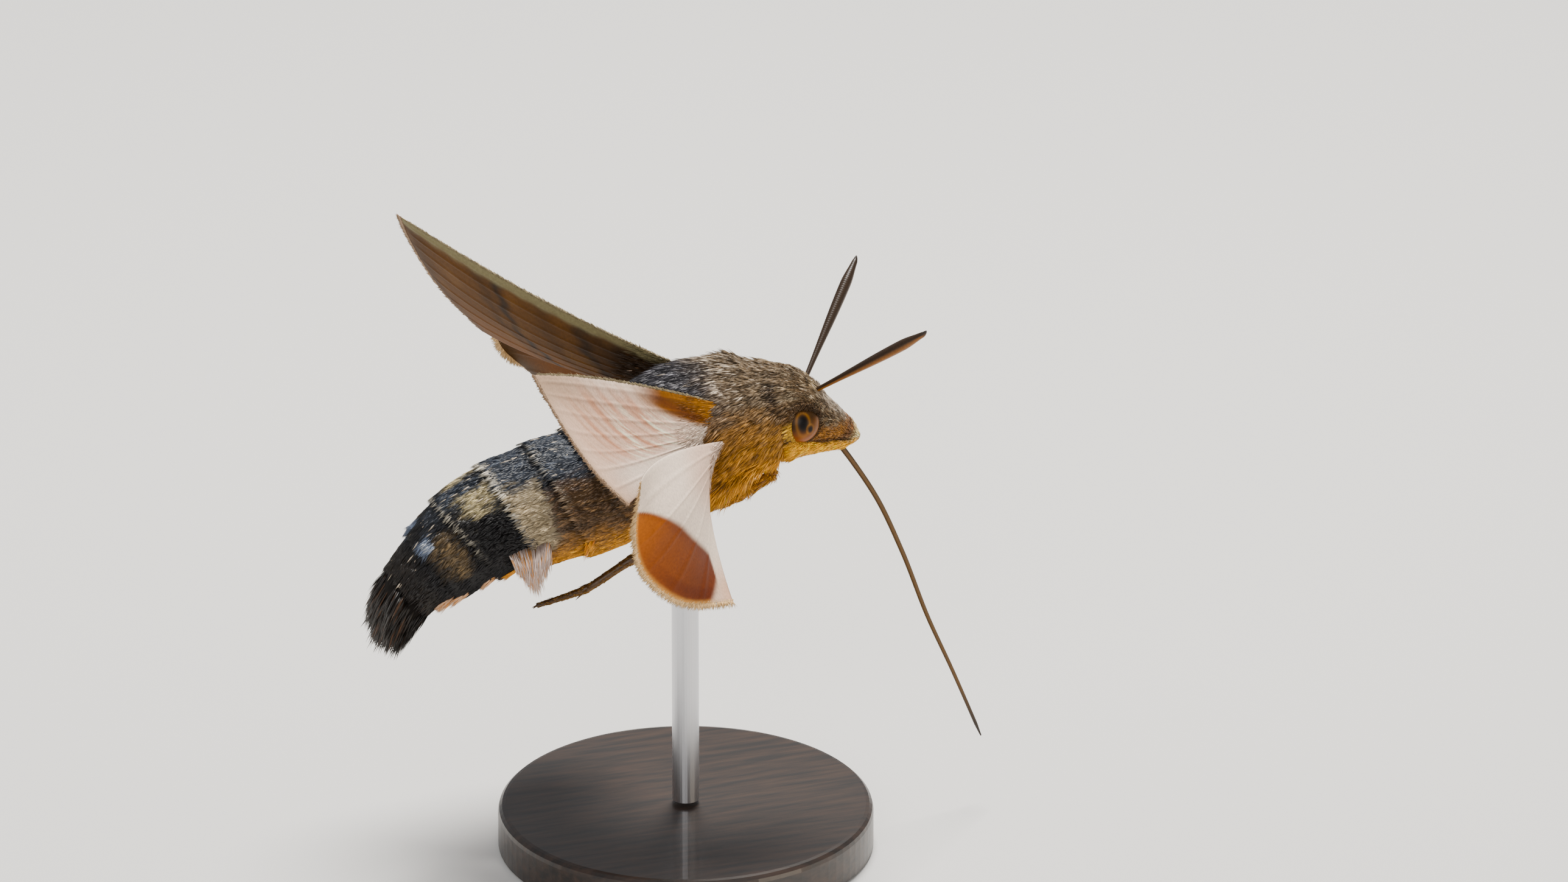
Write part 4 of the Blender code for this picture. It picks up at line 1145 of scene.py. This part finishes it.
def leg_paint(share, up):
    """Colours of a leg: dark brown above, tawny below."""
    return painted(LEG_BROWN, (LEG_TAWNY, smooth(0.1, -0.6, up)), (LEG_END, smooth(0.75, 1.0, share) * 0.5))


def leg_spikes(name, route, ends, joints, shader):
    """Two claws at a leg's end and two spurs at each of these joints."""
    spikes = [(route[-1], ends[-1] + (0, 0.4 * turn, -0.3), 0.3, 0.05) for turn in (1, -1)]
    for row in joints:
        spikes += [(route[row], ends[row] + (0, 0.35 * turn, -0.45), SPUR_LENGTH, 0.09) for turn in (-1, 1)]
    shares = np.linspace(0, 1, 14)
    for number, (start, way, reach, thick) in enumerate(spikes):
        spike = start + unit(way) * reach * shares[:, None] + ends[-1] * 0.15 * reach * shares[:, None] ** 2
        radii = thick * (1 - shares**1.6) + 0.012
        make_tube(f"{name}_spike_{number + 1}", spike, radii, 8, leg_paint, shader)


def leg_scales(name, chance, route, ends, radii, thigh, count, shader):
    """A coat of short scales on a leg, golden and longer where thigh is 1."""
    rows = chance.integers(2, len(route) - 4, count)
    turn = chance.uniform(0, 2 * math.pi, count)
    first = unit(np.cross(ends[rows], ACROSS))
    second = np.cross(ends[rows], first)
    out = first * np.cos(turn)[:, None] + second * np.sin(turn)[:, None]
    roots = route[rows] + out * (radii[rows] * 0.93)[:, None]
    heading = unit(ends[rows] + out * chance.uniform(0.02, 0.3, count)[:, None])
    colours = painted(LEG_SCALES, (GOLD, thigh[rows])) * uneven(chance, 0.3, count)
    lengths = (0.26 + 0.3 * thigh[rows]) * chance.uniform(0.6, 1.3, count)
    widths = chance.uniform(0.05, 0.09, count)
    places = patch_place(turn / (2 * math.pi), rows / len(route))
    tufts(name + "_scales", (shader, "chitin"), roots, heading, out, lengths, widths, colours, places)


def make_leg(name, chance, joints, side, horn, coat):
    """A jointed leg with swellings at its joints, spurs, claws and a coat of short scales."""
    joints = mirrored(joints, side)
    along = lengths_along(joints)
    places = np.linspace(0.05, along[-1], 150)
    route = hermite(joints, along, np.gradient(joints, along, axis=0) * 0.75, places)
    radii = np.interp(places, along, LEG_RADII)
    for joint in along[1:-1]:
        radii = radii * (1 + 0.22 * hump(places, joint, 0.25))
    radii = radii * (1 + 0.03 * np.sin(places * 2 * math.pi / 0.3) * smooth(along[2], along[3], places))
    folded = "hind" not in name
    make_tube(name + "_limb", route, radii, 16, folded_leg_paint if folded else leg_paint, horn, name)
    ends = unit(np.gradient(route, axis=0))
    leg_spikes(name, route, ends, np.searchsorted(places, along[2:4]), horn)
    thigh = np.ones(len(places)) if folded else smooth(along[2], along[1], places)
    leg_scales(name, chance, route, ends, radii, thigh, 1500 if folded else 900, coat)


def make_legs(chance, horn, coat):
    """All six legs: the front pairs folded under the thorax, the hind pair trailing."""
    for side, word in SIDE_NAMES.items():
        hind = HIND_LEG if side == RIGHT else TUCKED_LEG
        for kind, joints in (("fore", FORE_LEG), ("middle", MIDDLE_LEG), ("hind", hind)):
            make_leg(f"{kind}_leg_{word}", chance, joints, side, horn, coat)


def dark_wood():
    """Dark wood with a fine grain."""
    made, tree, shader = new_shader("dark_wood", Roughness=0.42, Coat_Weight=0.25)
    grain = object_noise(tree, 220.0, 6.0, (1, 9, 9))
    ramp = add(tree, "ShaderNodeValToRGB")
    for stop, place, colour in zip(ramp.color_ramp.elements, (0.35, 0.7), ((28, 22, 19), (58, 44, 36))):
        stop.position = place
        stop.color = (*linear(colour), 1)
    tree.links.new(grain.outputs["Fac"], ramp.inputs["Fac"])
    tree.links.new(ramp.outputs["Color"], shader.inputs["Base Color"])
    bump(tree, shader, grain.outputs["Fac"], 0.25, 0.00005)
    return made


def brushed_steel():
    """Steel whose shine varies along fine lengthwise marks."""
    made, tree, shader = new_shader("brushed_rod", Metallic=1.0, Base_Color=(0.56, 0.56, 0.58, 1))
    grain = object_noise(tree, 900.0, 4.0, (1, 1, 0.05))
    levels = add(tree, "ShaderNodeMapRange", To_Min=0.22, To_Max=0.42)
    tree.links.new(grain.outputs["Fac"], levels.inputs["Value"])
    tree.links.new(levels.outputs["Result"], shader.inputs["Roughness"])
    return made


def dress_nodes(frame):
    """Wood and steel on the stand's solids, which stay as they are."""
    frame["nodes"]["stand_base"].data.materials[0] = dark_wood()
    frame["nodes"]["stand_rod"].data.materials[0] = brushed_steel()


def view_axes():
    """Directions across the view, up it and towards the camera."""
    right = np.array((math.cos(CAMERA_AZIMUTH), math.sin(CAMERA_AZIMUTH), 0.0))
    level = np.array((math.sin(CAMERA_AZIMUTH), -math.cos(CAMERA_AZIMUTH), 0.0))
    toward = level * math.cos(CAMERA_ELEVATION) + UP * math.sin(CAMERA_ELEVATION)
    return right, np.cross(toward, right), toward


def make_camera():
    """The photograph's view: a long lens, level, with the same width of view in millimetres."""
    right, up, toward = view_axes()
    aim = (THORAX_CENTRE + right * AIM_RIGHT + up * AIM_UP) * MM
    lens = bpy.data.cameras.new("camera")
    lens.sensor_width = SENSOR_WIDTH
    lens.lens = SENSOR_WIDTH * CAMERA_DISTANCE / (IMAGE_WIDTH / PIXELS_PER_MM * MM)
    lens.clip_start, lens.clip_end = 0.01, 10.0
    camera = bpy.data.objects.new("camera", lens)
    camera.location = Vector(aim + toward * CAMERA_DISTANCE)
    camera.rotation_euler = Vector(toward).to_track_quat("Z", "Y").to_euler()
    bpy.context.scene.collection.objects.link(camera)
    bpy.context.scene.camera = camera


def area_light(name, place, size, power, colour):
    """A round soft light aimed at the thorax."""
    light = bpy.data.lights.new(name, "AREA")
    light.shape = "DISK"
    light.size, light.energy, light.color = size, power, colour
    lamp = bpy.data.objects.new(name, light)
    lamp.location = Vector(place)
    lamp.rotation_euler = (lamp.location - Vector(THORAX_CENTRE * MM)).to_track_quat("Z", "Y").to_euler()
    bpy.context.scene.collection.objects.link(lamp)


def make_studio():
    """A plain pale floor and soft lights: a key from above behind the back, and fills."""
    bpy.ops.mesh.primitive_plane_add(size=6.0, location=(0, 0, 0))
    floor = bpy.context.object
    floor.name = "floor"
    made, _, _ = new_shader("pale_floor", Base_Color=(0.72, 0.71, 0.69, 1), Roughness=0.8)
    floor.data.materials.append(made)
    area_light("key", (0.06, 0.1, 0.36), 0.12, 3.0, (1.0, 0.97, 0.92))
    area_light("fill", (-0.25, -0.45, 0.3), 0.4, 1.9, (1.0, 0.98, 0.96))
    area_light("low", (0.25, -0.3, 0.05), 0.2, 0.5, (1.0, 0.86, 0.66))
    world = bpy.data.worlds.new("studio")
    world.use_nodes = True
    sky = world.node_tree.nodes["Background"].inputs
    sky["Color"].default_value = (0.86, 0.89, 0.93, 1)
    sky["Strength"].default_value = 0.42
    bpy.context.scene.world = world


def main():
    """Builds every piece of the scene in the loaded frame."""
    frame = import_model()
    chance = np.random.default_rng(SEED)
    make_camera()
    make_studio()
    skin = marked_material("skin", 0.75, 0.25, 2500.0, 0.1, 0.00004)
    coat = marked_material("coat", 0.42, 0.18, 4000.0, 0.3)
    wing = marked_material("wing", 0.6, 0.16, 6000.0, 0.12, 0.00002)
    horn = marked_material("horn", 0.4, 0.15, 5000.0, 0.35, 0.00001)
    make_skin(skin)
    make_coat(chance, coat)
    make_tail(chance, coat)
    make_brushes(chance, coat)
    make_eyes()
    make_antennae(horn)
    make_proboscis(horn)
    make_wings(chance, wing, coat)
    make_wing_roots(chance, coat)
    make_legs(chance, horn, coat)
    make_eye_rims(chance, coat)
    dress_nodes(frame)


main()
